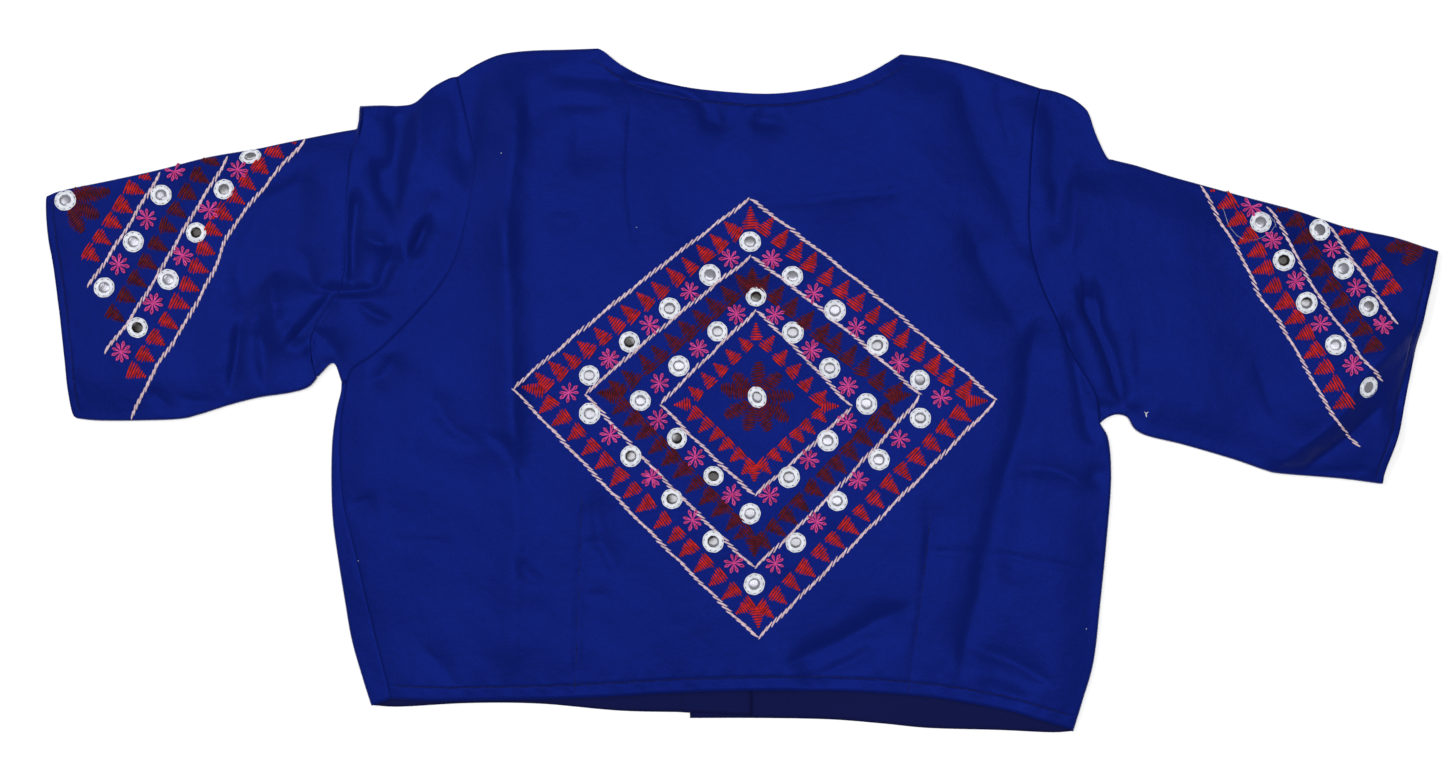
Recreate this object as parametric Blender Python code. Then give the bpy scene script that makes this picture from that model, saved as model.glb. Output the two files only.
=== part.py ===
"""Choli blouse laid flat on a table with its back up, in metres, +Z up.

The plan tables are in millimetres on the table top: x runs to the right and y towards the neck.
The fronts rest on the table, the back lies on them, and each sleeve is a flattened tube.
"""

import math

import bpy
import numpy as np

MM = 0.001

# Driving dimensions, in millimetres
CHEST_ROUND = 934.0  # all round, at the widest level
PATTERN_CHEST = 934.0  # the chest that the plan tables below are drawn for
WALL = 1.0  # the cloth
SEAM_GAP = 0.3  # between pieces that are sewn together
FOLD_REACH = 1.9  # how far a flattened fold rounds in from its outermost line
FOLD_HEIGHT = 3.7  # two walls and the air between them at a fold
BODY_HEIGHT = 4.3  # outer face of the top layer, away from folds and edges
NECK_HEIGHT = 1.3
HEM_HEIGHT = 3.9
EDGE_SOFTNESS = 22.0  # how far from an edge the top layer reaches its full height
ARMPIT_EASE = 0.6  # the sleeve stands off this far where all the pieces meet under the arm
SEAM_REACH = 1.4  # the groove beside a seam
SEAM_DIP = 0.5
LAP_LIFT = 1.4  # the upper front lies this high over the lower one
LAP_RAMP = 7.0  # width of the slope on which it climbs
LEAST_AIR = 0.25  # between layers that lie on each other
NECK_SAG_SPAN = 34.0  # where nothing lies under the back it sinks to the table over this distance

GRADE = CHEST_ROUND / PATTERN_CHEST

# Plan of the back, as (x, y)
BACK_HEM = [
    (-209.7, -184.4), (-175, -185.4), (-110, -184.2), (-38, -180.6), (10, -179.2),
    (64, -179.8), (112, -183.4), (154, -190.4), (178, -197.2), (198.3, -203.2),
]
SIDE_SEAM_LEFT = [
    (-209.7, -184.4), (-216.9, -155.7), (-222.3, -134), (-230.1, -100.5), (-237.4, -71.7),
    (-239.8, -53.7), (-240.3, -35), (-239.7, -17.7), (-237.5, -2.7), (-236.4, 5.2),
]
ARMHOLE_LEFT = [
    (-236.4, 5.2), (-233, 12.6), (-219.9, 21.3), (-204.3, 35.7), (-184.5, 57.3), (-173.7, 74),
    (-167.7, 91), (-162.3, 116.7), (-160.4, 139), (-165.9, 167), (-170.7, 188.2),
]
SHOULDER_LEFT = [(-170.7, 188.2), (-160.5, 194.7), (-145.5, 201.2), (-127, 203.6), (-106, 204.2), (-87, 204.9)]
BACK_NECK = [
    (-87, 204.9), (-82.6, 202.6), (-73.5, 195.3), (-61.5, 188.7), (-49.5, 185), (-25.5, 180.4), (10, 177.6),
    (34.5, 179.1), (58.5, 183.6), (73.5, 188.7), (85.5, 195.3), (95, 201.4),
]
SHOULDER_RIGHT = [(95, 201.4), (112.5, 199.5), (130.5, 195.9), (154.5, 188.7), (178.5, 181)]
ARMHOLE_RIGHT = [
    (178.5, 181), (174.3, 157.5), (171.9, 113.7), (173.4, 84.3), (179.1, 62.7), (188.1, 42.3),
    (199.5, 18.9), (208.5, 3.3), (213.6, -8), (214.2, -19.6),
]
SIDE_FOLD_RIGHT = [
    (198.3, -203.2), (203.7, -185.7), (210.4, -161.7), (214.5, -125.7), (218.1, -89.7),
    (220.8, -53.7), (219.3, -30), (214.2, -19.6),
]

# Plan of the fronts, where they differ from the back
SIDE_FOLD_LEFT = [
    (-222.3, -188.7), (-227.1, -173.7), (-234, -149.7), (-238.2, -125.7), (-242.1, -101.7),
    (-245.4, -77.7), (-246.3, -53.7), (-245.7, -29.7), (-243.2, -11.7), (-240.6, -1), (-240.2, 5.2),
]
FRONT_HEM_LEFT = [
    (-222.3, -188.7), (-205, -189.6), (-163.5, -187.4), (-121.5, -187.8), (-73.5, -192), (-31.5, -193), (5.7, -194.6),
]
FRONT_HEM_RIGHT = [
    (-31.5, -196.4), (10, -196.4), (52, -197.2), (85, -199.8), (112, -202.4), (154, -203.6), (185, -205), (198.3, -204.2),
]
FRONT_NECK_LEFT = [(5.7, 46), (-20, 49), (-46, 66), (-64, 98), (-75, 140), (-81, 175), (-87, 204.9)]
FRONT_NECK_RIGHT = [(-31.5, 46.5), (4, 46), (34, 50), (58, 67), (76, 100), (86, 142), (91, 176), (95, 201.4)]

# Plan of the left sleeve. Its head stands in a pleat over the rest of the sleeve.
HEAD_CREST_LEFT = [(-170.7, 188.2), (-176, 187), (-186, 181.4), (-196, 172.6), (-205, 170.6), (-216, 170.6), (-228.6, 170)]
PLEAT_LINE = [
    (-228.6, 170), (-229.6, 158), (-234, 138), (-236.6, 117), (-237.3, 96), (-236.8, 72),
    (-238.6, 54), (-243, 36), (-248, 22), (-254, 8.6),
]
SLEEVE_CREST_LEFT = [
    (-229.8, 156.8), (-244, 154.4), (-273, 148.6), (-291, 144.8), (-320, 139.8), (-349, 132.4),
    (-378, 126), (-406, 120.2), (-414.6, 117),
]
CUFF_LEFT = [(-414.6, 117), (-416.6, 113.2), (-414.3, 90), (-411.3, 72), (-405.3, 24), (-402.9, 0), (-400.8, -13.2), (-398.4, -16.8)]
SLEEVE_UNDER_LEFT = [
    (-254, 8.6), (-260, 2), (-271.5, -1.5), (-289.5, -4.2), (-307.5, -8.7), (-325.5, -14.4), (-337.5, -17.1),
    (-361.5, -18), (-385.5, -18), (-398.4, -16.8),
]
ARMPIT_LEFT = [(-240.4, 5.4), (-245.2, 16.4), (-254, 8.6)]

# Plan of the right sleeve
SLEEVE_CREST_RIGHT = [
    (178.5, 181), (188, 179), (197.7, 175), (205, 169.4), (208, 164.6), (211.5, 154), (218, 140.2), (222, 138.2),
    (236, 134.7), (255, 128.7), (274.5, 123.3), (303, 115.5), (332, 107.7), (361, 98.1), (389.7, 92), (406.5, 86.7), (416.4, 83.6),
]
CUFF_RIGHT = [(416.4, 83.6), (413.1, 70), (408.9, 53), (401.7, 19.5), (395, -14), (390.3, -31), (384.3, -48), (383, -56)]
SLEEVE_UNDER_RIGHT = [
    (214.2, -19.6), (218, -16.6), (224, -14.4), (230.4, -16), (234, -22), (238.5, -25.6), (246, -28.2), (265, -32.7),
    (293.7, -41.1), (312.9, -47.7), (322.5, -49.8), (358.5, -52.8), (383, -56),
]

# Grid counts
SIDE_ROWS = 15
ARM_ROWS = 14
SHOULDER_COLUMNS = 7
NECK_COLUMNS = 14
FRONT_COLUMNS = 6
BEND_ROWS = 19
NECK_BEND_LEFT = -52.0  # where the neck of each front turns from its foot to its side
NECK_BEND_RIGHT = 46.0
HEAD_COLUMNS = 6
SLEEVE_COLUMNS = 13

# The largest folds of the top layer: a straight or bowed line, its width across and its height.
# A ridge is positive and a trough negative; bow is how far its middle lies to the left of its run.
FOLD_COLUMNS = ("name", "x0", "y0", "x1", "y1", "bow", "width", "height")
FOLDS = [
    ("pressed line on the left", -139, 190, -139, -172, -2, 4.5, 0.9),
    ("slack below the left armhole", -181, -4, -132, -56, -7, 7, -0.8),
    ("slack beside the right armhole", 116, 176, 200, 26, 10, 10, -1.0),
    ("second slack by the right shoulder", 152, 176, 166, 122, 4, 6, -0.7),
    ("swag right of the panel", 176, 40, 128, -166, -6, 9, -1.2),
    ("bulge beside the swag", 190, -20, 158, -150, -6, 14, 1.1),
    ("gather above the hem", 28, -168, 94, -131, 5, 6, -0.8),
    ("slack under the neck", -127, 188, -14, 158, -8, 6, -0.7),
    ("drop beside the left pleat", -252, 118, -262, 48, 4, 12, -0.6),
    ("hollow over the left elbow", -292, 60, -309, 2, 3, 7, -1.2),
    ("bulge of the left elbow", -276, 52, -284, 8, 0, 12, 1.3),
    ("crush at the left armpit", -254, 58, -222, 57, 2, 5, -1.2),
    ("second crush at the left armpit", -216, 92, -233, 36, 3, 6, -1.2),
    ("roll over the left sleeve head", -194, 168, -190, 128, 4, 9, 1.2),
    ("hollow in the left sleeve head", -212, 150, -224, 112, 2, 8, -1.4),
    ("deep fold at the right armpit", 205, 60, 226, -8, 7, 5, -1.5),
    ("roll beside the right armpit", 196, 100, 214, 24, 5, 9, 1.4),
    ("roll of the right sleeve head", 207, 158, 199, 104, -4, 10, 1.6),
    ("hollow of the right sleeve head", 182, 168, 186, 112, -3, 7, -1.0),
    ("pressed line near the right cuff", 322, -44, 398, 36, 3, 5, -0.9),
]

# The pleat of the left sleeve head
PUFF_HEIGHT = 4.2  # how much higher the head stands than the sleeve below it
PUFF_SPAN = 58.0  # from the pleat line to where the head lies low again
PLEAT_END = 0.66  # share of the pleat line at which it has run out
PLEAT_STEP = 1.5  # plan distance in which the head drops to the sleeve

CLOTH_BLUE = (0.012, 0.022, 0.24, 1.0)
INSIDE_BLUE = (0.014, 0.018, 0.16, 1.0)


class Line:
    """A smooth line through a table's points, read at shares of its length."""

    STEPS = 14

    def __init__(self, rows):
        points = np.array(rows, float) * GRADE
        padded = np.vstack([2 * points[0] - points[1], points, 2 * points[-1] - points[-2]])
        share = np.linspace(0, 1, self.STEPS, endpoint=False)[:, None]
        parts = []
        for before, start, end, after in zip(padded, padded[1:], padded[2:], padded[3:]):
            pull_out = (end - before) / 2
            pull_in = (after - start) / 2
            parts.append(
                (2 * share**3 - 3 * share**2 + 1) * start
                + (share**3 - 2 * share**2 + share) * pull_out
                + (3 * share**2 - 2 * share**3) * end
                + (share**3 - share**2) * pull_in
            )
        self.points = np.vstack([*parts, points[-1:]])
        lengths = np.linalg.norm(np.diff(self.points, axis=0), axis=1)
        self.marks = np.concatenate([[0], np.cumsum(lengths)])

    def at(self, shares):
        where = np.asarray(shares, float) * self.marks[-1]
        return np.stack([np.interp(where, self.marks, self.points[:, k]) for k in (0, 1)], axis=-1)

    def even(self, count):
        return self.at(np.linspace(0, 1, count))


def join(*lines):
    """One run of points from several that share their end points."""
    return np.vstack([lines[0], *[line[1:] for line in lines[1:]]])


def smooth(value):
    value = np.clip(value, 0, 1)
    return value * value * (3 - 2 * value)


def distance_to(points, line):
    """Shortest plan distance from each point to a line."""
    start = line[:-1]
    run = line[1:] - start
    to_point = points[..., None, :] - start
    share = np.clip((to_point * run).sum(-1) / (run * run).sum(-1), 0, 1)
    foot = start + share[..., None] * run
    return np.linalg.norm(points[..., None, :] - foot, axis=-1).min(-1)


def inside(points, loop):
    """Whether each plan point lies inside a closed loop."""
    crossings = np.zeros(points.shape[:-1], int)
    for start, end in zip(loop, np.roll(loop, -1, axis=0)):
        spans = (start[1] > points[..., 1]) != (end[1] > points[..., 1])
        rise = end[1] - start[1] if end[1] != start[1] else 1
        x = start[0] + (points[..., 1] - start[1]) / rise * (end[0] - start[0])
        crossings += spans & (points[..., 0] < x)
    return crossings % 2 == 1


def fold_height(points, row):
    """What one fold of the table adds to the height at each plan point."""
    fold = dict(zip(FOLD_COLUMNS, row))
    start = np.array([fold["x0"], fold["y0"]], float) * GRADE
    run = np.array([fold["x1"], fold["y1"]], float) * GRADE - start
    length = np.linalg.norm(run)
    along = ((points - start) @ run) / length**2
    side = np.array([-run[1], run[0]]) / length
    off = (points - start) @ side - fold["bow"] * 4 * along * (1 - along)
    across = np.exp(-((off / fold["width"]) ** 2) * 2)
    taper = smooth(along / 0.25) * smooth((1 - along) / 0.25)
    return fold["height"] * across * taper


FOLD_LINES = [
    Line(rows).points
    for rows in (
        SHOULDER_LEFT, SHOULDER_RIGHT, SIDE_FOLD_RIGHT, SIDE_FOLD_LEFT, HEAD_CREST_LEFT, SLEEVE_CREST_LEFT,
        SLEEVE_UNDER_LEFT, ARMPIT_LEFT, SLEEVE_CREST_RIGHT, SLEEVE_UNDER_RIGHT,
    )
]
NECK_LINE = Line(BACK_NECK).points
HEM_LINE = Line(BACK_HEM).points
NECK_LOOP = np.vstack([Line(FRONT_NECK_LEFT).points[::-1], Line(FRONT_NECK_RIGHT).points])
PLEAT_POINTS = Line(PLEAT_LINE).points
HEAD_LOOP = np.vstack([PLEAT_POINTS[::-1], Line(HEAD_CREST_LEFT).points[::-1], Line(ARMHOLE_LEFT).points[::-1]])


def lap_height(points):
    """Height of the underside of the lower layer: the left front climbs on the right one."""
    start = FRONT_HEM_RIGHT[0][0] * GRADE - 1 - LAP_RAMP
    return LAP_LIFT * smooth((points[..., 0] - start) / LAP_RAMP)


def puff(points):
    """How much higher the head of the left sleeve stands, for plan points on it."""
    near = distance_to(points, PLEAT_POINTS)
    top = PLEAT_POINTS[0, 1]
    depth = (top - points[..., 1]) / (top - PLEAT_POINTS[-1, 1])
    return PUFF_HEIGHT * (1 - smooth(near / (PUFF_SPAN * GRADE))) * (1 - smooth(depth / PLEAT_END))


def top_height(points, on_head=None):
    """Height of the outer face of the top layer over the table, for plan points."""
    near_fold = np.min([distance_to(points, line) for line in FOLD_LINES], axis=0)
    near_hem = distance_to(points, HEM_LINE)
    at_fold = np.exp(-((near_fold / EDGE_SOFTNESS) ** 2) * 2)
    at_hem = np.exp(-((near_hem / EDGE_SOFTNESS) ** 2) * 2)
    pull = at_fold * (FOLD_HEIGHT - BODY_HEIGHT) + at_hem * (HEM_HEIGHT - BODY_HEIGHT)
    height = BODY_HEIGHT + pull / np.maximum(1, at_fold + at_hem)
    bare = inside(points, NECK_LOOP)
    sink = smooth(distance_to(points, NECK_LOOP) / (NECK_SAG_SPAN * GRADE)) * bare * smooth(near_fold / 40)
    height = height + sink * (NECK_HEIGHT - height)
    calm = smooth(near_fold / EDGE_SOFTNESS * 2)
    height = height + sum(fold_height(points, row) for row in FOLDS) * calm
    if on_head is None:
        on_head = inside(points, HEAD_LOOP)
    height = height + puff(points) * on_head
    least = WALL + np.where(bare, 0, WALL + LEAST_AIR)
    over_lap = (points[..., 0] < FRONT_HEM_LEFT[-1][0] * GRADE + 8) & (points[..., 0] > -246) & ~bare
    least = least + np.where(over_lap, lap_height(points), 0)
    return np.maximum(height, least)


def patch(left, right, bottom, top):
    """Plan points of a cloth grid between four edges that share their corners."""
    across = np.linspace(0, 1, len(bottom))[None, :, None]
    up = np.linspace(0, 1, len(left))[:, None, None]
    sides = (1 - across) * left[:, None] + across * right[:, None]
    ends = (1 - up) * bottom[None] + up * top[None]
    corners = (1 - up) * ((1 - across) * bottom[0] + across * bottom[-1])
    corners = corners + up * ((1 - across) * top[0] + across * top[-1])
    return sides + ends - corners


class Grid:
    """Plan points in rows and columns, with what each does in height.

    turn is how far a point has gone round a fold, a quarter turn at the outermost line;
    dip is how deep it lies in the groove of a seam.
    """

    RINGS = ((0.0, 1.0), (0.5, 0.293), (1.0, 0.0))

    def __init__(self, plan):
        self.plan = plan
        self.turn = np.zeros(plan.shape[:2])
        self.dip = np.zeros(plan.shape[:2])
        self.foot = plan.copy()

    def flip(self, side):
        """Turn the arrays so that the named side comes last in rows, or turn them back."""
        for name in ("plan", "turn", "dip", "foot"):
            values = getattr(self, name)
            if side in ("left", "right"):
                values = values.swapaxes(0, 1)
            setattr(self, name, values)

    def border(self, side, kinds):
        """Add the rings of one side, which roll round a fold, dip to a seam or run out flat."""
        across = side in ("left", "right")
        if across:
            self.flip(side)
        if side in ("left", "bottom"):
            self.reverse()
        line = self.plan[-1]
        step = self.plan[-2] - line
        run = np.gradient(line, axis=0)
        normal = np.stack([-run[:, 1], run[:, 0]], axis=1)
        normal /= np.linalg.norm(normal, axis=1)[:, None]
        normal *= np.sign((normal * step).sum(1))[:, None]
        lean = np.maximum((step * normal).sum(1) / np.linalg.norm(step, axis=1), 0.45)
        way = step / np.linalg.norm(step, axis=1)[:, None] / lean[:, None]
        fold = np.array([k == "fold" for k in kinds])
        seam = np.array([k == "seam" for k in kinds])
        reach = np.where(seam, SEAM_REACH, FOLD_REACH)
        end = np.where(seam, SEAM_GAP / 2, 0)
        plan, turn, dip = [], [], []
        for share, left_over in self.RINGS:
            away = end + (reach - end) * left_over
            plan.append(line + way * away[:, None])
            turn.append(np.where(fold, share * math.pi / 2, self.turn[-1]))
            dip.append(np.where(seam, SEAM_DIP * share**2, self.dip[-1]))
        foot = self.foot[-1] + (plan[0] - line)
        self.plan = np.concatenate([self.plan[:-1], plan])
        self.turn = np.concatenate([self.turn[:-1], turn])
        self.dip = np.concatenate([self.dip[:-1], dip])
        self.foot = np.concatenate([self.foot[:-1], np.where(fold[:, None], foot, plan)])
        if side in ("left", "bottom"):
            self.reverse()
        if across:
            self.flip(side)
        return self

    def reverse(self):
        for name in ("plan", "turn", "dip", "foot"):
            setattr(self, name, getattr(self, name)[::-1])

    def upper(self, gap, on_head=None):
        """Outer face of the top layer; at a fold it stops a gap above the half height."""
        level = top_height(self.foot, on_head)
        z = level / 2 * (1 + np.cos(self.turn)) - self.dip * np.cos(self.turn)
        z = np.where(self.turn > 1.5, z + gap, z)
        return np.concatenate([self.plan, z[..., None]], axis=-1)

    def lower(self, gap, lift=None, on_head=None):
        """Outer face of the layer on the table; at a fold it stops a gap below the half height."""
        level = top_height(self.foot, on_head)
        z = level / 2 * (1 - np.cos(self.turn))
        z = np.where(self.turn > 1.5, z - gap, z)
        if lift is not None:
            z = z + lift(self.plan) * np.cos(self.turn)
        return np.concatenate([self.plan, z[..., None]], axis=-1)


def grid_faces(rows, columns, first=0):
    corner = first + np.arange(rows - 1)[:, None] * columns + np.arange(columns - 1)[None]
    return np.stack([corner, corner + 1, corner + columns + 1, corner + columns], axis=-1).reshape(-1, 4)


def face_normals(vertices, faces):
    normals = np.cross(vertices[faces[:, 2]] - vertices[faces[:, 0]], vertices[faces[:, 3]] - vertices[faces[:, 1]])
    return normals / np.linalg.norm(normals, axis=1)[:, None]


def cloth_mesh(vertices, faces, wall, level_rims=()):
    """Both faces and the rims of a cloth whose outer sheet is given.

    Along an edge the rim stands square to the sheet: level where a fold is cut open, upright elsewhere.
    """
    flat = face_normals(vertices, faces)
    a = vertices[faces]
    corner = np.cross(np.roll(a, -1, axis=1) - a, np.roll(a, 1, axis=1) - a)
    weight = np.linalg.norm(corner, axis=2)
    normals = np.zeros_like(vertices)
    for k in range(4):
        np.add.at(normals, faces[:, k], flat * np.arcsin(np.clip(
            weight[:, k] / np.linalg.norm(np.roll(a, -1, axis=1) - a, axis=2)[:, k]
            / np.linalg.norm(np.roll(a, 1, axis=1) - a, axis=2)[:, k], 0, 1))[:, None])
    pairs = np.concatenate([faces[:, [k, (k + 1) % 4]] for k in range(4)])
    known = {tuple(pair) for pair in pairs.tolist()}
    rims = np.array([pair for pair in pairs.tolist() if (pair[1], pair[0]) not in known])
    level_set = set(level_rims)
    for start, end in rims:
        for place in (start, end):
            if place in level_set:
                normals[place, 2] = 0
    upright = np.zeros((len(vertices), 2))
    for start, end in rims:
        run = vertices[end, :2] - vertices[start, :2]
        size = np.linalg.norm(run)
        if size > 0:
            for place in (start, end):
                upright[place] += np.array([run[1], -run[0]]) / size
    for place in set(rims[:, 0].tolist()):
        out = upright[place]
        size = np.linalg.norm(out)
        if place not in level_set and size > 0:
            out = out / size
            normals[place, :2] -= out * (normals[place, :2] @ out)
    normals /= np.linalg.norm(normals, axis=1)[:, None]
    even = np.zeros(len(vertices))
    count = np.zeros(len(vertices))
    for k in range(4):
        np.add.at(even, faces[:, k], (flat * normals[faces[:, k]]).sum(1))
        np.add.at(count, faces[:, k], 1)
    even = np.clip(even / np.maximum(count, 1), 0.6, 1)
    inner = vertices - normals * (wall / even)[:, None]
    n = len(vertices)
    rim_faces = [[end, start, start + n, end + n] for start, end in rims.tolist()]
    all_faces = faces.tolist() + (faces[:, ::-1] + n).tolist() + rim_faces
    return np.vstack([vertices, inner]), all_faces


def cloth_material(name, colour, roughness):
    material = bpy.data.materials.new(name)
    material.use_nodes = True
    shader = material.node_tree.nodes["Principled BSDF"]
    shader.inputs["Base Color"].default_value = colour
    shader.inputs["Roughness"].default_value = roughness
    shader.inputs["Metallic"].default_value = 0.0
    return material


def make_piece(name, vertices, faces, material, level_rims=()):
    points, all_faces = cloth_mesh(vertices, faces, WALL, level_rims)
    mesh = bpy.data.meshes.new(name)
    mesh.from_pydata((points * MM).tolist(), [], all_faces)
    mesh.materials.append(material)
    mesh.shade_smooth()
    piece = bpy.data.objects.new(name, mesh)
    bpy.context.scene.collection.objects.link(piece)
    return piece


def border_places(rows, columns, side, kinds):
    """Vertex numbers on one side of a grid where the cloth is cut open along a fold."""
    last = {"left": [(r, 0) for r in range(rows)], "right": [(r, columns - 1) for r in range(rows)]}
    last["bottom"] = [(0, c) for c in range(columns)]
    last["top"] = [(rows - 1, c) for c in range(columns)]
    return [r * columns + c for (r, c), kind in zip(last[side], kinds) if kind == "fold"]


def neck_shares():
    return np.concatenate([[0], np.linspace(0.012, 0.988, NECK_COLUMNS - 2), [1]])


def arm_left():
    return Line(ARMHOLE_LEFT).even(ARM_ROWS)


def arm_right():
    return Line(ARMHOLE_RIGHT[::-1]).even(ARM_ROWS)


def spread(kinds, extra_start, extra_end):
    """The kinds of a side after other sides have added rings at its ends."""
    return [kinds[0]] * extra_start + kinds + [kinds[-1]] * extra_end


def build_back(material):
    left = join(Line(SIDE_SEAM_LEFT).even(SIDE_ROWS), arm_left())
    right = join(Line(SIDE_FOLD_RIGHT).even(SIDE_ROWS), arm_right())
    top = join(Line(SHOULDER_LEFT).even(SHOULDER_COLUMNS), Line(BACK_NECK).at(neck_shares()), Line(SHOULDER_RIGHT).even(SHOULDER_COLUMNS))
    bottom = Line(BACK_HEM).even(len(top))
    top_kinds = ["fold"] * SHOULDER_COLUMNS + ["edge"] * (NECK_COLUMNS - 2) + ["fold"] * SHOULDER_COLUMNS
    left_kinds = ["seam"] * len(left)
    right_kinds = ["fold"] * SIDE_ROWS + ["seam"] * (ARM_ROWS - 1)
    grid = Grid(patch(left, right, bottom, top))
    grid.border("top", top_kinds)
    grid.border("left", spread(left_kinds, 0, 2))
    grid.border("right", spread(right_kinds, 0, 2))
    sheet = grid.upper(SEAM_GAP / 2)
    rows, columns = sheet.shape[:2]
    level = border_places(rows, columns, "top", spread(top_kinds, 2, 2))
    level += border_places(rows, columns, "right", spread(right_kinds, 0, 2))
    return make_piece("back", sheet.reshape(-1, 3), grid_faces(rows, columns), material, level)


def share_where(line, x):
    """The share of a line's length at which it passes a given x."""
    order = np.argsort(line.points[:, 0])
    return np.interp(x, line.points[order, 0], (line.marks / line.marks[-1])[order])


def side_part(inner_edge, outer_edge, hem, shoulder, outer, outer_kinds):
    """The part of a front between its side and the line down from the bend of its neck."""
    on_left = outer == "left"
    left, right = (outer_edge, inner_edge) if on_left else (inner_edge, outer_edge)
    grid = Grid(patch(left, right, hem, shoulder))
    grid.border("top", ["fold"] * len(shoulder))
    grid.border(outer, spread(outer_kinds, 0, 2))
    return grid


def add_grid(vertices, faces, plan, sheet, shared, side):
    """Add a second grid that shares its first or last column with vertices that are there already."""
    rows, columns = plan.shape[:2]
    place = np.empty((rows, columns), int)
    own = slice(1, None) if side == "left" else slice(0, -1)
    place[:, 0 if side == "left" else -1] = shared
    count = rows * (columns - 1)
    place[:, own] = len(vertices) + np.arange(count).reshape(rows, columns - 1)
    vertices = np.vstack([vertices, sheet[:, own].reshape(-1, 3)])
    return vertices, np.vstack([faces, place.ravel()[grid_faces(rows, columns)]])


def build_front_right(material):
    side = join(Line(SIDE_FOLD_RIGHT).even(SIDE_ROWS), arm_right())
    neck = Line(FRONT_NECK_RIGHT)
    hem = Line(FRONT_HEM_RIGHT)
    bend = share_where(neck, NECK_BEND_RIGHT * GRADE)
    foot = share_where(hem, NECK_BEND_RIGHT * GRADE)
    down = np.linspace(hem.at(foot), neck.at(bend), BEND_ROWS)
    inner_edge = join(down, neck.at(np.linspace(bend, 1, len(side) - BEND_ROWS + 1)))
    kinds = ["fold"] * SIDE_ROWS + ["seam"] * (ARM_ROWS - 1)
    hem_side = hem.at(np.linspace(foot, 1, SHOULDER_COLUMNS + 3))
    hem_side[-1] = side[0]
    grid = side_part(inner_edge, side, hem_side, Line(SHOULDER_RIGHT).even(SHOULDER_COLUMNS + 3), "right", kinds)
    sheet = grid.lower(SEAM_GAP / 2)
    rows, columns = sheet.shape[:2]
    level = border_places(rows, columns, "top", ["fold"] * columns)
    level += border_places(rows, columns, "right", spread(kinds, 0, 2))
    placket = np.linspace(hem.at(0), neck.at(0), BEND_ROWS)
    plan = patch(placket, down, hem.at(np.linspace(0, foot, FRONT_COLUMNS)), neck.at(np.linspace(0, bend, FRONT_COLUMNS)))
    flat = np.concatenate([plan, np.zeros(plan.shape[:2])[..., None]], axis=-1)
    shared = [r * columns for r in range(BEND_ROWS)]
    vertices, faces = add_grid(sheet.reshape(-1, 3), grid_faces(rows, columns), plan, flat, shared, "right")
    return make_piece("front_right", vertices, faces[:, ::-1], material, level)


def wrap_strip(crest, crest_height):
    """The rows by which the left front comes round its fold and lies on top, as far as the side seam."""
    seam = Line(SIDE_SEAM_LEFT).even(SIDE_ROWS)
    across = seam - crest
    room = np.linalg.norm(across, axis=1)
    way = across / room[:, None]
    end = room - SEAM_GAP
    foot_line = crest + way * np.minimum(FOLD_REACH, room * 0.4)[:, None]
    level = top_height(foot_line)
    rows = []
    for turn in (math.pi / 4, 0.0):
        plan = crest + way * (np.minimum(FOLD_REACH, room * 0.4) * (1 - math.sin(turn)))[:, None]
        z = crest_height + (level - crest_height) * math.cos(turn)
        rows.append(np.column_stack([plan, z]))
    before = np.maximum(end - SEAM_REACH, np.minimum(FOLD_REACH, room * 0.4) + 0.5)
    for away, dip in ((before, 0.0), (end, SEAM_DIP)):
        plan = crest + way * away[:, None]
        rows.append(np.column_stack([plan, top_height(plan) - dip]))
    return rows


def build_front_left(material):
    side = join(Line(SIDE_FOLD_LEFT).even(SIDE_ROWS), np.vstack([Line(SIDE_FOLD_LEFT).points[-1:], arm_left()]))
    neck = Line(FRONT_NECK_LEFT[::-1])
    hem = Line(FRONT_HEM_LEFT)
    bend = share_where(neck, NECK_BEND_LEFT * GRADE)
    foot = share_where(hem, NECK_BEND_LEFT * GRADE)
    down = np.linspace(hem.at(foot), neck.at(bend), BEND_ROWS)
    inner_edge = join(down, neck.at(np.linspace(bend, 0, len(side) - BEND_ROWS + 1)))
    kinds = ["fold"] * SIDE_ROWS + ["seam"] * ARM_ROWS
    hem_side = hem.at(np.linspace(0, foot, SHOULDER_COLUMNS + 3))
    shoulder = Line(SHOULDER_LEFT).even(SHOULDER_COLUMNS + 3)
    grid = side_part(inner_edge, side, hem_side, shoulder, "left", kinds)
    sheet = grid.lower(SEAM_GAP / 2, lap_height)
    rows, columns = sheet.shape[:2]
    level = border_places(rows, columns, "top", ["fold"] * columns)
    ramp_end = FRONT_HEM_RIGHT[0][0] * GRADE - 1
    stops = [ramp_end - LAP_RAMP, ramp_end - LAP_RAMP / 2, ramp_end, ramp_end / 3, FRONT_HEM_LEFT[-1][0] * GRADE]
    lap = [np.linspace(hem.at(share_where(hem, x)), neck.at(share_where(neck, x)), BEND_ROWS) for x in stops]
    plan = np.stack([down, *lap], axis=1)
    raised = np.concatenate([plan, lap_height(plan)[..., None]], axis=-1)
    shared = [r * columns + columns - 1 for r in range(BEND_ROWS)]
    vertices, faces = add_grid(sheet.reshape(-1, 3), grid_faces(rows, columns), plan, raised, shared, "left")
    faces = faces[:, ::-1]
    crest = sheet[:SIDE_ROWS, 0]
    edge = [r * columns for r in range(SIDE_ROWS)]
    for row in wrap_strip(crest[:, :2], crest[:, 2]):
        new = [len(vertices) + n for n in range(SIDE_ROWS)]
        vertices = np.vstack([vertices, row])
        quads = [[edge[n], edge[n + 1], new[n + 1], new[n]] for n in range(SIDE_ROWS - 1)]
        faces = np.vstack([faces, np.array(quads)[:, ::-1]])
        edge = new
    return make_piece("front_left", vertices, faces, material, level)


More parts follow.
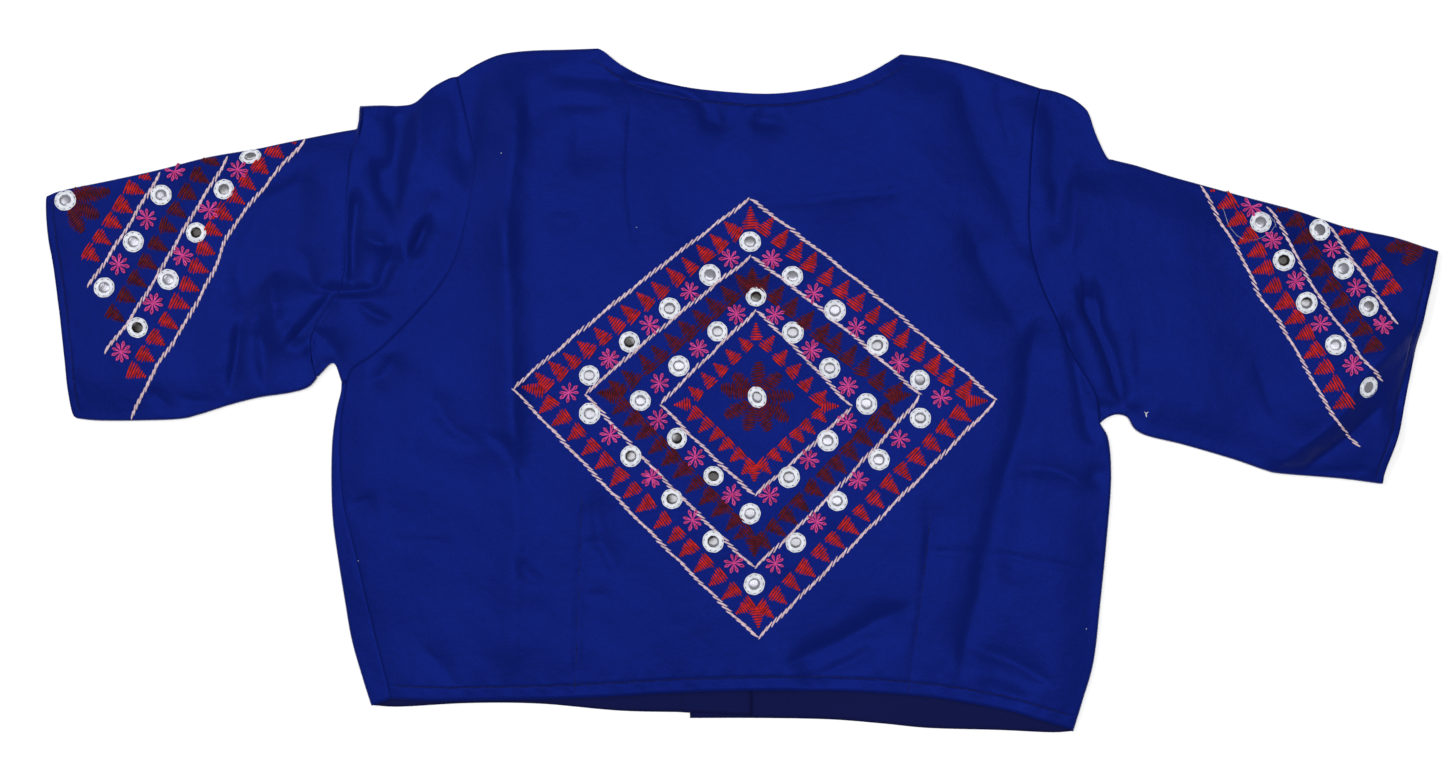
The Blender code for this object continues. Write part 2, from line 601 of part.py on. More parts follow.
def tube(name, plan, border_side, material):
    """A flattened sleeve: one grid on the table and one on it, joined along both folds."""
    grid = Grid(plan)
    folds = ["fold"] * plan.shape[1]
    grid.border("top", folds)
    grid.border("bottom", folds)
    seam = ["seam"] * grid.plan.shape[0]
    grid.border(border_side, seam)
    upper = grid.upper(0.0)
    lower = grid.lower(0.0)
    rows, columns = upper.shape[:2]
    count = rows * columns
    vertices = np.vstack([upper.reshape(-1, 3), lower.reshape(-1, 3)])
    faces = grid_faces(rows, columns)
    under = grid_faces(rows, columns)[:, ::-1]
    merge = np.arange(count)
    merge = np.where((merge < columns) | (merge >= count - columns), merge, merge + count)
    faces = np.vstack([faces, merge[under]])
    used = np.unique(faces)
    place = np.full(2 * count, -1)
    place[used] = np.arange(len(used))
    return make_piece(name, vertices[used], place[faces], material)


def build_sleeve_right(material):
    left = arm_right()
    left[0] += np.array([ARMPIT_EASE, ARMPIT_EASE * 0.6])
    columns = SLEEVE_COLUMNS + 4
    top = Line(SLEEVE_CREST_RIGHT).even(columns)
    bottom = Line(SLEEVE_UNDER_RIGHT).even(columns)
    bottom[0] = left[0]
    right = Line(CUFF_RIGHT[::-1]).even(len(left))
    return tube("sleeve_right", patch(left, right, bottom, top), "left", material)


def build_sleeve_left(material):
    armhole = np.vstack([Line(SIDE_FOLD_LEFT).points[-1:], arm_left()])
    armhole[0] += np.array([-ARMPIT_EASE / 2, ARMPIT_EASE])
    armhole[1] += np.array([-ARMPIT_EASE / 3, ARMPIT_EASE])
    rows = len(armhole)
    pleat = Line(PLEAT_LINE[::-1]).even(rows)
    head_top = Line(HEAD_CREST_LEFT[::-1]).even(HEAD_COLUMNS)
    head_bottom = Line(ARMPIT_LEFT[::-1]).even(HEAD_COLUMNS)
    head_bottom[-1] = armhole[0]
    head = patch(pleat, armhole, head_bottom, head_top)
    below = np.array(PLEAT_LINE[::-1], float)
    below[-2:] = [[-229.9, 157.4], [-229.8, 156.8]]
    foot = Line(below).even(rows)
    share = np.linspace(0, 1, rows)[:, None]
    foot = foot - np.array([PLEAT_STEP, 0]) * GRADE * (0.6 + 0.4 * share)
    foot[-1] = np.array(SLEEVE_CREST_LEFT[0]) * GRADE
    foot[-1, 0] = foot[-2, 0] - 0.2
    crest = Line(SLEEVE_CREST_LEFT[::-1]).even(SLEEVE_COLUMNS)
    crest[-1] = foot[-1]
    under = Line(SLEEVE_UNDER_LEFT[::-1]).even(SLEEVE_COLUMNS)
    under[-1] = foot[0]
    cuff = Line(CUFF_LEFT[::-1]).even(rows)
    outer = patch(cuff, foot, under, crest)
    return tube("sleeve_left", np.concatenate([outer, head], axis=1), "right", material)


def main():
    for item in list(bpy.data.objects):
        bpy.data.objects.remove(item)
    build_back(cloth_material("back cotton satin", CLOTH_BLUE, 0.55))
    build_front_left(cloth_material("left front cotton satin", INSIDE_BLUE, 0.6))
    build_front_right(cloth_material("right front cotton satin", INSIDE_BLUE, 0.6))
    build_sleeve_left(cloth_material("left sleeve cotton satin", CLOTH_BLUE, 0.55))
    build_sleeve_right(cloth_material("right sleeve cotton satin", CLOTH_BLUE, 0.55))


main()
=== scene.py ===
"""Looks of the choli blouse that lies flat with its back up.

Plan tables are in millimetres on the table top: x runs to the right and y towards the neck.
"""

import math

import bpy
import numpy as np
from mathutils import Matrix, Vector, kdtree


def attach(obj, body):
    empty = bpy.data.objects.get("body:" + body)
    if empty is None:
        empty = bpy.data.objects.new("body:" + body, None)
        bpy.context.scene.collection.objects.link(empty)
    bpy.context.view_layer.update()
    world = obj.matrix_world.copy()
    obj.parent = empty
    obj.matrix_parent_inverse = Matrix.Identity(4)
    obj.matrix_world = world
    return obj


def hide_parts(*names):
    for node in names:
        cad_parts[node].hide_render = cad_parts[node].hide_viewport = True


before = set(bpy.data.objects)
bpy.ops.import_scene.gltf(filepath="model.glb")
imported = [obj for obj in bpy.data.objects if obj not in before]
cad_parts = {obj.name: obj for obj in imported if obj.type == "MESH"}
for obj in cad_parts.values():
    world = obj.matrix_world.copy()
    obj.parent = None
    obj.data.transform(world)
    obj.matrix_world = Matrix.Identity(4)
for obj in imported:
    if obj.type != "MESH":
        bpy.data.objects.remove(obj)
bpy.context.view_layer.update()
MM = 0.001

# Heights over the table and how cloth turns at its folds, as in the part
FOLD_HEIGHT = 3.7
BODY_HEIGHT = 4.3
NECK_HEIGHT = 1.3
HEM_HEIGHT = 3.9
EDGE_SOFTNESS = 22.0
LAP_LIFT = 1.4
LAP_RAMP = 7.0
NECK_SAG_SPAN = 34.0
NECK_BEND_LEFT = -52.0
NECK_BEND_RIGHT = 46.0
PUFF_HEIGHT = 4.2
PUFF_SPAN = 36.0
PLEAT_END = 0.66

# Plan of the back, as (x, y)
BACK_HEM = [
    (-209.7, -184.4), (-175, -185.4), (-110, -184.2), (-38, -180.6), (10, -179.2),
    (64, -179.8), (112, -183.4), (154, -190.4), (178, -197.2), (198.3, -203.2),
]
SIDE_SEAM_LEFT = [
    (-209.7, -184.4), (-216.9, -155.7), (-222.3, -134), (-230.1, -100.5), (-237.4, -71.7),
    (-239.8, -53.7), (-240.3, -35), (-239.7, -17.7), (-237.5, -2.7), (-236.4, 5.2),
]
ARMHOLE_LEFT = [
    (-236.4, 5.2), (-233, 12.6), (-219.9, 21.3), (-204.3, 35.7), (-184.5, 57.3), (-173.7, 74),
    (-167.7, 91), (-162.3, 116.7), (-160.4, 139), (-165.9, 167), (-170.7, 188.2),
]
SHOULDER_LEFT = [
    (-170.7, 188.2), (-160.5, 194.7), (-145.5, 201.2), (-127, 203.6), (-106, 204.2), (-87, 204.9),
]
BACK_NECK = [
    (-87, 204.9), (-82.6, 202.6), (-73.5, 195.3), (-61.5, 188.7), (-49.5, 185), (-25.5, 180.4), (10, 177.6),
    (34.5, 179.1), (58.5, 183.6), (73.5, 188.7), (85.5, 195.3), (95, 201.4),
]
SHOULDER_RIGHT = [(95, 201.4), (112.5, 199.5), (130.5, 195.9), (154.5, 188.7), (178.5, 181)]
ARMHOLE_RIGHT = [
    (178.5, 181), (174.3, 157.5), (171.9, 113.7), (173.4, 84.3), (179.1, 62.7), (188.1, 42.3),
    (199.5, 18.9), (208.5, 3.3), (213.6, -8), (214.2, -19.6),
]
SIDE_FOLD_RIGHT = [
    (198.3, -203.2), (203.7, -185.7), (210.4, -161.7), (214.5, -125.7), (218.1, -89.7),
    (220.8, -53.7), (219.3, -30), (214.2, -19.6),
]

# Plan of the fronts, where they differ from the back
SIDE_FOLD_LEFT = [
    (-222.3, -188.7), (-227.1, -173.7), (-234, -149.7), (-238.2, -125.7), (-242.1, -101.7),
    (-245.4, -77.7), (-246.3, -53.7), (-245.7, -29.7), (-243.2, -11.7), (-240.6, -1), (-240.2, 5.2),
]
FRONT_HEM_LEFT = [
    (-222.3, -188.7), (-205, -189.6), (-163.5, -187.4), (-121.5, -187.8), (-73.5, -192), (-31.5, -193),
    (5.7, -194.6),
]
FRONT_HEM_RIGHT = [
    (-31.5, -196.4), (10, -196.4), (52, -197.2), (85, -199.8), (112, -202.4), (154, -203.6),
    (185, -205), (198.3, -204.2),
]
FRONT_NECK_LEFT = [(5.7, 46), (-20, 49), (-46, 66), (-64, 98), (-75, 140), (-81, 175), (-87, 204.9)]
FRONT_NECK_RIGHT = [
    (-31.5, 46.5), (4, 46), (34, 50), (58, 67), (76, 100), (86, 142), (91, 176), (95, 201.4),
]

# Plan of the left sleeve. Its head stands in a pleat over the rest of the sleeve.
HEAD_CREST_LEFT = [
    (-170.7, 188.2), (-176, 187), (-186, 181.4), (-196, 172.6), (-205, 170.6), (-216, 170.6),
    (-228.6, 170),
]
PLEAT_LINE = [
    (-228.6, 170), (-229.6, 158), (-234, 138), (-236.6, 117), (-237.3, 96), (-236.8, 72),
    (-240.5, 58), (-249, 46), (-256.5, 34), (-257, 22), (-254, 8.6),
]
SLEEVE_CREST_LEFT = [
    (-229.8, 156.8), (-244, 154.4), (-273, 148.6), (-291, 144.8), (-320, 139.8), (-349, 132.4),
    (-378, 126), (-406, 120.2), (-414.6, 117),
]
CUFF_LEFT = [
    (-414.6, 117), (-416.6, 113.2), (-414.3, 90), (-411.3, 72), (-405.3, 24), (-402.9, 0),
    (-400.8, -13.2), (-398.4, -16.8),
]
SLEEVE_UNDER_LEFT = [
    (-254, 8.6), (-260, 2), (-271.5, -1.5), (-289.5, -4.2), (-307.5, -8.7), (-325.5, -14.4),
    (-337.5, -17.1),
    (-361.5, -18), (-385.5, -18), (-398.4, -16.8),
]
ARMPIT_LEFT = [(-240.4, 5.4), (-245.2, 16.4), (-254, 8.6)]

# Plan of the right sleeve
SLEEVE_CREST_RIGHT = [
    (178.5, 181), (188, 179), (197.7, 175), (205, 169.4), (208, 164.6), (211.5, 154), (218, 140.2),
    (222, 138.2),
    (236, 134.7), (255, 128.7), (274.5, 123.3), (303, 115.5), (332, 107.7), (361, 98.1), (389.7, 92),
    (406.5, 86.7), (416.4, 83.6),
]
CUFF_RIGHT = [
    (416.4, 83.6), (413.1, 70), (408.9, 53), (401.7, 19.5), (395, -14), (390.3, -31), (384.3, -48),
    (383, -56),
]
SLEEVE_UNDER_RIGHT = [
    (214.2, -19.6), (218, -16.6), (224, -14.4), (230.4, -16), (234, -22), (238.5, -25.6), (246, -28.2),
    (265, -32.7),
    (293.7, -41.1), (312.9, -47.7), (322.5, -49.8), (358.5, -52.8), (383, -56),
]

# Cloth as it is seen
CLOTH = 0.45
SEAM_DIP = 0.75
SEAM_REACH = 1.9
SLEEVE_RISE = 0.9  # room for the stitches under the sleeves
FULLNESS = 1.9  # how much higher the loose cloth stands than the part's plain top
FULLNESS_REACH = 26
CREASE_GAIN = 1.25
CREASE_END = 0.42  # share of a crease over which it tapers
SETTLING = 0.4
WINDOW_SIDE = (-0.88, 0.48)
TUCK_SPREAD = 1.2

# Fine grid counts
SIDE_ROWS = 92
ARM_ROWS = 96
SHOULDER_COLUMNS = 40
NECK_COLUMNS = 146
FRONT_COLUMNS = 14
HEAD_COLUMNS = 44
SLEEVE_COLUMNS = 112
BEND_ROWS = 96

# Creases of the top layer. A negative height is a trough. Width is how far its steeper flank
# reaches. Steep tells how much steeper its upper left flank is than the other, or its lower
# right flank when negative.
CREASE_COLUMNS = ("name", "width", "height", "steep", "points")
CREASES = [
    ("hollow behind the pleat", 12, -4.8, 0.3, [(-206, 200), (-206, 150), (-210, 124), (-206, 92)]),
    ("roll between the hollows", 13, 3.6, 0, [(-193, 204), (-193, 150), (-200, 126), (-206, 100)]),
    ("hollow by the armhole", 12, -5.6, 0.3, [(-167, 214), (-166, 160), (-165, 116)]),
    ("slant behind the pleat", 6, -2.2, 0.6, [(-222, 146), (-215, 124), (-208, 104)]),
    ("second slant", 5, 1.2, 0, [(-180, 122), (-186, 110), (-190, 98)]),
    ("dark fold in the head", 5, -4.4, 0.3, [(-186, 108), (-193, 91), (-201, 74)]),
    ("ridge to the knot", 6, 2.2, 0, [(-231, 98), (-222.6, 89.5), (-207, 84.5)]),
    ("ridge from the knot", 5, 1.2, 0, [(-204, 78), (-209, 68), (-213, 58)]),
    ("furrow beside that ridge", 8, -3.6, 0.6, [(-204, 92), (-213, 73), (-221, 52)]),
    ("hollow at the pleat's foot", 5, -4.0, 0.6, [(-260, 62), (-238, 59), (-214, 62)]),
    ("flat fold under the knot", 5, 2.0, 0, [(-250, 53), (-236, 55), (-218, 54)]),
    ("crease under the knot", 4, -2.0, 0.3, [(-230, 54), (-220, 45), (-206, 41)]),
    ("crease to the elbow", 5, -3.8, 0.7, [(-243, 62), (-257, 43), (-274, 24)]),
    ("hollow above the elbow", 9, -3.6, 0.4, [(-272, 90), (-262, 70), (-252, 56)]),
    ("bulge of the elbow", 11, 3.2, 0, [(-282, 76), (-280, 56), (-278, 36)]),
    ("slant of the bulge", 7, 1.6, -1, [(-266, 44), (-274, 32), (-284, 20)]),
    ("long hollow beside the band", 19, -5.4, 0.3, [(-252, 146), (-278, 104), (-296, 66), (-299, 26)]),
    ("crease below it", 5, -3.2, 0.6, [(-301, 46), (-303, 20), (-308, -6)]),
    ("second crease below it", 8, -3.2, 0.6, [(-290, 50), (-287, 22), (-286, -4)]),
    ("shaded side of the pleat", 4.5, -3.4, 0.6, [(-230, 124), (-233, 92), (-233.5, 58)]),
    ("nick at the sleeve's edge", 4, -1.6, 1, [(-357, 4), (-350, -4), (-340, -13)]),
    (
        "crease along the underarm", 2.8, -1.4, 0.5,
        [(-340, -3), (-326, -7), (-310, -8), (-286, -5), (-262, 0)],
    ),
    ("fold at the armpit", 6, -4.4, 0.3, [(-260, 40), (-249, 26), (-240, 12)]),
    ("tight fold at the armpit", 4, -1.8, -0.6, [(-262, 30), (-256, 18), (-252, 8)]),
    ("slack in the head", 9, -1.6, 1, [(-172, 112), (-184, 84), (-200, 56)]),
    (
        "pressed line on the left", 12, 4.2, -0.8,
        [(-133, 196), (-136, 150), (-140, 104), (-139, 54), (-137, -10), (-135, -60)],
    ),
    ("its dark part", 7, 1.7, -1, [(-141, 118), (-141, 92), (-140, 62)]),
    ("its faint end", 9, 1.4, -1, [(-137, -40), (-135, -96), (-139, -176)]),
    ("slack under the shoulder", 10, -2.2, 1, [(-140, 190), (-131, 170), (-122, 148)]),
    ("upright slack", 8, -1.8, 1, [(-98, 168), (-98, 148), (-101, 124)]),
    ("level slack", 6, -1.4, 1, [(-118, 171), (-96, 172), (-74, 171)]),
    ("small level slack", 6, -1.1, 1, [(-122, 103), (-108, 102), (-94, 104)]),
    ("thin line beside the neck", 2.4, -0.8, 1, [(-67, 172), (-69, 126), (-64, 82)]),
    ("trough under the neck", 7, -2.2, 0.5, [(-118, 189), (-58, 184), (-29, 176), (-10, 154)]),
    ("dimple under the neck", 8, -2.2, 0.3, [(-28, 166), (-18, 161), (-6, 158)]),
    ("second dimple", 8, -2.2, 0.3, [(0, 164), (14, 161), (30, 158)]),
    ("slant below the armhole", 5, -1.5, 1, [(-188, 4), (-178, -18), (-163, -29), (-150, -34)]),
    ("slant into the pressed line", 6, -2.0, 1, [(-158, -24), (-142, -33), (-128, -58)]),
    ("tuck at the side's top", 7, -2.4, 1, [(-226, 4), (-214, 10), (-205, 26)]),
    ("nick at the side seam", 4, -1.3, 1, [(-238, -69), (-229, -67), (-216, -62)]),
    ("level line at the side", 3, -0.7, 1, [(-214, -89), (-190, -90), (-168, -92)]),
    ("slack by the left dart", 7, -1.8, 1, [(-90, -54), (-84, -92), (-70, -115)]),
    ("tick by the left dart", 3, -0.8, 1, [(-98, -91), (-90, -91), (-81, -91)]),
    ("short slant", 6, -1.4, 1, [(-138, -98), (-128, -110), (-116, -117)]),
    ("second short slant", 5, -1.0, 1, [(-96, -124), (-86, -122), (-76, -128)]),
    ("slant above the hem", 6, -1.2, 1, [(-196, -150), (-183, -162), (-168, -178)]),
    ("wide slack on the right", 12, -4.2, 0.8, [(126, 192), (146, 146), (164, 106), (180, 66)]),
    ("second slack on the right", 5, -1.6, 1, [(151, 190), (157, 160), (163, 132)]),
    ("third slack on the right", 16, -3.4, 0.6, [(128, 112), (148, 72), (168, 30)]),
    (
        "long fold on the right", 10, -3.2, 1,
        [(178, 50), (172, 18), (168, -14), (158, -50), (150, -84), (144, -112), (136, -142), (129, -176)],
    ),
    ("its dark part", 6, -1.6, 1, [(149, -92), (145, -108), (139, -124)]),
    (
        "roll beside the long fold", 11, 0.8, 0,
        [(184, 20), (178, -20), (170, -60), (162, -110), (152, -150)],
    ),
    ("fold to the right armpit", 4, -2.4, 1, [(190, 48), (197, 22), (203, -8), (206, -26)]),
    ("crease below the armpit", 4, -2.0, 1, [(204, -14), (207, -26), (212, -34)]),
    ("pinch below the armpit", 4, -2.0, 1, [(221, -44), (212, -50), (204, -58)]),
    ("level ridge", 6, 1.6, -0.4, [(156, -54), (169, -47), (188, -48), (204, -57), (212, -66)]),
    ("thin level line", 2.4, -0.8, 0.6, [(107, -96), (151, -98), (213, -109)]),
    ("fold above the hem", 9, -3.6, 0.8, [(20, -166), (56, -151), (78, -139), (104, -126)]),
    ("second fold above the hem", 5, -1.5, 1, [(26, -174), (56, -166), (84, -150)]),
    ("thin line above the panel", 2.4, -0.9, 1, [(0, 112), (48, 115), (100, 120)]),
    ("slack over the right hem", 7, -2.2, 1, [(134, -153), (160, -162), (190, -178)]),
    ("slack at the right hem's end", 6, -1.5, 1, [(136, -170), (156, -180), (176, -184)]),
    ("hollow beside the right seam", 11, -5.0, 0.6, [(189, 196), (191, 146), (187, 100)]),
    ("its lower part", 9, -2.4, 0.8, [(191, 128), (189, 108), (186, 84)]),
    ("roll of the right head", 9, 1.8, 0, [(200, 146), (198, 110), (196, 76)]),
    ("star crease", 3, -1.6, 1, [(202, 72), (206, 56), (211, 42)]),
    ("its other arm", 3, -1.4, 1, [(198, 66), (204, 50), (212, 34)]),
    ("dark fold to the armpit", 4.5, -5.4, 0.6, [(202, 62), (212, 38), (220, 18), (228, -12)]),
    ("second dark fold", 3.4, -2.0, 0.5, [(210, 70), (211, 54), (216, 38)]),
    ("first pinch", 3.2, -1.7, 1, [(212, -4), (215, -12), (218, -22)]),
    ("second pinch", 3.2, -1.9, 1, [(219, -6), (223, -14), (227, -22)]),
    ("third pinch", 3.2, -1.7, 1, [(227, -8), (232, -16), (236, -26)]),
    ("slack of the right sleeve", 7, -1.2, 1, [(234, 42), (237, 22), (236, -4)]),
    ("faint fold of the right sleeve", 6, -1.0, 1, [(304, 22), (312, 0), (320, -24)]),
    ("wedge by the underarm", 14, 5.4, -0.8, [(306, -56), (338, -30), (357, -13), (370, 8), (408, 46)]),
    ("slack in the wedge", 5, -2.4, 0.5, [(384, -6), (360, -28), (330, -50)]),
    ("slack near the cuff", 8, -3.0, 0.5, [(410, 44), (397, 8), (386, -30)]),
    ("underarm seam", 2.2, -0.9, 0, [(314, -48), (346, -49), (378, -47)]),
    ("left dart", 1.8, -0.8, 1, [(-96, -66), (-98, -120), (-100, -177)]),
    ("right dart", 1.8, -0.8, 1, [(112, -78), (106, -128), (99, -179)]),
    ("slack by the right dart", 6, -1.1, 1, [(108, -60), (112, -84), (110, -118)]),
]

# Turned edges and their stitching
HEM_TURN = 8.0
NECK_TURN = 7.0
CUFF_TURN = 4.4
MACHINE_STITCH = 2.7

# Stitched work
RING_ACROSS = 12.9
GLASS_ACROSS = 7.4
LOOP_LENGTH = 4.7
ROPE_PITCH = 3.9
THREAD_SIDE_PAINTED_SHADE = 0.06  # share of the thread's colour left at its sides, where the shade between close rows is painted
ROW_PITCH = 1.45
GROOVE = (-1.5, -0.8, -0.35, 0, 0.35, 0.8, 1.5)  # closer points across a line of machine stitching
OUTER_DIAMOND = [(4.5, 115), (-137, 1.5), (9, -148), (151.5, -6)]
MIDDLE_DIAMOND = [(5.5, 80.5), (-94, -2), (7, -106), (106.5, -3)]
INNER_DIAMOND = [(8.5, 48), (-49, -8), (7, -62.5), (65, -10)]
OUTER_BOWS = (1.6, 1.5, 0.4, 2.6)
MIDDLE_BOWS = (1.0, 1.8, 2.4, 1.8)
INNER_BOWS = (0.4, 0.8, 0.9, 0.6)
OUTER_PATH = [(4.5, 89), (-103.5, -1), (7, -115.5), (118.5, -4)]
INNER_PATH = [(8, 56), (-61, -6), (4.5, -73.5), (74, -8)]
# Triangles along the sides of each diamond: how many, how far the first and last stand from the
# corners, and how deep their bases lie inside the cream line
TEETH_COLUMNS = ("count", "first", "last", "depth", "lean")
OUTER_TEETH = [
    (14, 19, 16.5, 13.4, 0.14), (15, 22, 18, 12.6, -0.1), (15, 14, 22, 13.6, 0.08),
    (14, 18, 18.5, 11.6, 0.12),
]
MIDDLE_TEETH = [
    (10, 14, 17.7, 14.6, 0.1), (11, 21, 18, 14.6, -0.1), (11, 15, 21, 11.8, 0.05),
    (10, 13.2, 16, 13.6, 0.08),
]
INNER_TEETH = [
    (5, 18.8, 20, 13.4, 0.08), (6, 19.3, 14.3, 13.4, -0.04), (6, 15.2, 17.5, 12.6, 0.04),
    (5, 17.8, 19.7, 13, 0.06),
]
FLOWER_CENTRE = (8.7, -4)
# Petals by heading in degrees and how far their tips lie from the middle
BACK_PETALS = [
    (88, 21.3), (47, 19.5), (3, 21.9), (-36, 23.2), (-70, 21.3), (-107, 21), (-148, 22.4), (165, 22.6),
    (137, 19.7),
]
LEFT_CUFF_FLOWER = (-404.6, 113.6)
LEFT_PETALS = [(31, 17), (13, 27), (-25, 22.6), (-60, 22)]
RIGHT_CUFF_FLOWER = (410, 92)
RIGHT_PETALS = [(198, 26.5), (228, 22.5)]
LEFT_LINES = [
    [(-261, 150), (-284, 124), (-306, 95), (-317, 69), (-334, 38), (-349, 15), (-366, -17)],
    [(-307.5, 140), (-318, 121), (-334, 95), (-349, 69), (-365, 43), (-381, 22)],
    [(-348, 130.5), (-362, 106), (-375, 85), (-391.5, 61.5)],
]
LEFT_PATHS = [
    [(-294.6, 141.5), (-317, 109), (-334, 81), (-351, 53), (-370.5, 23)],
    [(-339.5, 131), (-355, 103), (-381, 61.5)],
]
RIGHT_LINES = [
    [(274.5, 123), (285, 102), (298, 79.5), (308, 58), (322, 38), (336, 13), (351, -15), (368, -34)],
    [(314, 110.5), (324, 93), (334.5, 72), (348, 50), (360, 33), (369, 18), (381, 5)],
    [(351, 99), (360, 84), (374, 64), (390, 39)],
]
RIGHT_PATHS = [
    [(304, 110), (325, 73.5), (339, 48), (356, 23.5), (372, 2)],
    [(345, 96), (360, 70.5), (381, 39)],
]
# Triangles along the lines of a sleeve: thread, how many, and shares of the line of the first and last
LEFT_TEETH = [("red", 15, 0.03, 0.87), ("maroon", 10, 0.05, 0.86), ("red", 6, 0.08, 0.82)]
RIGHT_TEETH = [("red", 14, 0.03, 0.87), ("maroon", 10, 0.05, 0.84), ("red", 5, 0.12, 0.76)]

# Stray white threads: place, heading in degrees, length and width
STRAYS = [
    (241.2, -14.5, 100, 2.2, 0.8), (241.6, -13.4, 40, 1.6, 0.6), (240.7, -13.2, 150, 1.4, 0.5),
    (-143.7, 141.3, 20, 0.6, 0.5), (-229.5, -101.7, 70, 0.6, 0.4), (205.5, -142.5, 45, 0.8, 0.4),
    (-63.3, 97.5, 0, 0.6, 0.4),
]
LOOSE_THREAD = [(288, 107), (291, 98), (297, 91.5), (305, 90), (313, 93), (318, 99), (316, 103)]

# Looks: the darker and lighter colour of each cloth face, its roughness and its gleam
SATIN_FACE = ((0.0023, 0.0057, 0.071), (0.0046, 0.0123, 0.146), 0.34, 0.2)
SATIN_INSIDE = ((0.004, 0.005, 0.034), (0.008, 0.01, 0.06), 0.5, 0.08)
# Threads: darker and lighter colour, turns and strands of the twist, roughness, and whether the
# sides get painted shade, darker as if shaded by the rows beside them
THREADS = {
    "white": ((0.56, 0.58, 0.63), (0.77, 0.79, 0.85), 0, 3, 0.5, False),
    "cream": ((0.52, 0.38, 0.41), (0.74, 0.58, 0.66), 2.5, 2, 0.55, False),
    "red": ((0.27, 0.006, 0.007), (0.6, 0.018, 0.016), 2, 2, 0.55, True),
    "maroon": ((0.05, 0.002, 0.006), (0.13, 0.005, 0.012), 2, 2, 0.55, True),
    "pink": ((0.42, 0.03, 0.17), (0.7, 0.08, 0.34), 6, 2, 0.55, False),
    "blue": ((0.002, 0.003, 0.03), (0.004, 0.008, 0.08), 2, 2, 0.55, False),
}
# Stitched pieces: what the needlework calls them, name, stitch, finish and unevenness
STITCHED = (
    ("cream", "twisted_lines", "straight", "cream", 0.04),
    ("red", "red_triangles", "straight", "red", 0.05),
    ("maroon", "maroon_triangles", "straight", "maroon", 0.05),
    ("pink", "pink_flowers", "loop", "pink", 0.05),
    ("ring", "mirror_rings", "ring", "white", 0.03),
    ("glass", "mirrors", "glass", "glass", 0.05),
)
# Lamps: name, place, width, depth and power
LAMPS = (("soft box", (-0.05, 0.05, 3.6), 3.0, 1.5, 122), ("window", (-1.95, 1.06, 2.5), 0.9, 0.9, 20))
CAMERA_PLACE = (-0.012, 0.0048, 1.204)
FLOOR_REACH = 3
FLOOR_LEVEL = -0.0004  # just under the cloth


class Line:
    """A smooth line through a table's points, read at shares of its length."""

    STEPS = 14

    def __init__(self, rows):
        points = np.array(rows, float)
        padded = np.vstack([2 * points[0] - points[1], points, 2 * points[-1] - points[-2]])
        share = np.linspace(0, 1, self.STEPS, endpoint=False)[:, None]
        parts = []
        for before, start, end, after in zip(padded, padded[1:], padded[2:], padded[3:]):
            pull_out = (end - before) / 2
            pull_in = (after - start) / 2
            parts.append(
                (2 * share**3 - 3 * share**2 + 1) * start
                + (share**3 - 2 * share**2 + share) * pull_out
                + (3 * share**2 - 2 * share**3) * end
                + (share**3 - share**2) * pull_in
            )
        self.points = np.vstack([*parts, points[-1:]])
        lengths = np.linalg.norm(np.diff(self.points, axis=0), axis=1)
        self.marks = np.concatenate([[0], np.cumsum(lengths)])
        self.length = self.marks[-1]

    def at(self, shares):
        where = np.asarray(shares, float) * self.length
        return np.stack([np.interp(where, self.marks, self.points[:, k]) for k in (0, 1)], axis=-1)

    def even(self, count):
        return self.at(np.linspace(0, 1, count))

    def share_at_x(self, x):
        order = np.argsort(self.points[:, 0])
        return np.interp(x, self.points[order, 0], (self.marks / self.length)[order])

    def aside(self, distance):
        """The line moved to its left by a distance."""
        run = np.gradient(self.points, axis=0)
        run /= np.linalg.norm(run, axis=1)[:, None]
        return Line((self.points + np.stack([-run[:, 1], run[:, 0]], axis=1) * distance)[::4])


def join(*lines):
    return np.vstack([lines[0], *[line[1:] for line in lines[1:]]])


def smooth(value):
    value = np.clip(value, 0, 1)
    return value * value * (3 - 2 * value)


class Nearest:
    """Plan distance to the closest of some lines."""

    def __init__(self, *lines):
        dense = []
        for line in lines:
            count = max(2, int(np.linalg.norm(np.diff(line, axis=0), axis=1).sum() / 0.8))
            marks = np.concatenate([[0], np.cumsum(np.linalg.norm(np.diff(line, axis=0), axis=1))])
            where = np.linspace(0, marks[-1], count)
            dense.append(np.stack([np.interp(where, marks, line[:, k]) for k in (0, 1)], axis=1))
        dense = np.vstack(dense)
        self.tree = kdtree.KDTree(len(dense))
        for n, (x, y) in enumerate(dense):
            self.tree.insert((x, y, 0), n)
        self.tree.balance()

    def to(self, points):
        flat = points.reshape(-1, 2)
        found = np.array([self.tree.find((x, y, 0))[2] for x, y in flat])
        return found.reshape(points.shape[:-1])


def inside(points, loop):
    """Whether each plan point lies inside a closed loop."""
    crossings = np.zeros(points.shape[:-1], int)
    for start, end in zip(loop, np.roll(loop, -1, axis=0)):
        spans = (start[1] > points[..., 1]) != (end[1] > points[..., 1])
        rise = end[1] - start[1] if end[1] != start[1] else 1
        x = start[0] + (points[..., 1] - start[1]) / rise * (end[0] - start[0])
        crossings += spans & (points[..., 0] < x)
    return crossings % 2 == 1


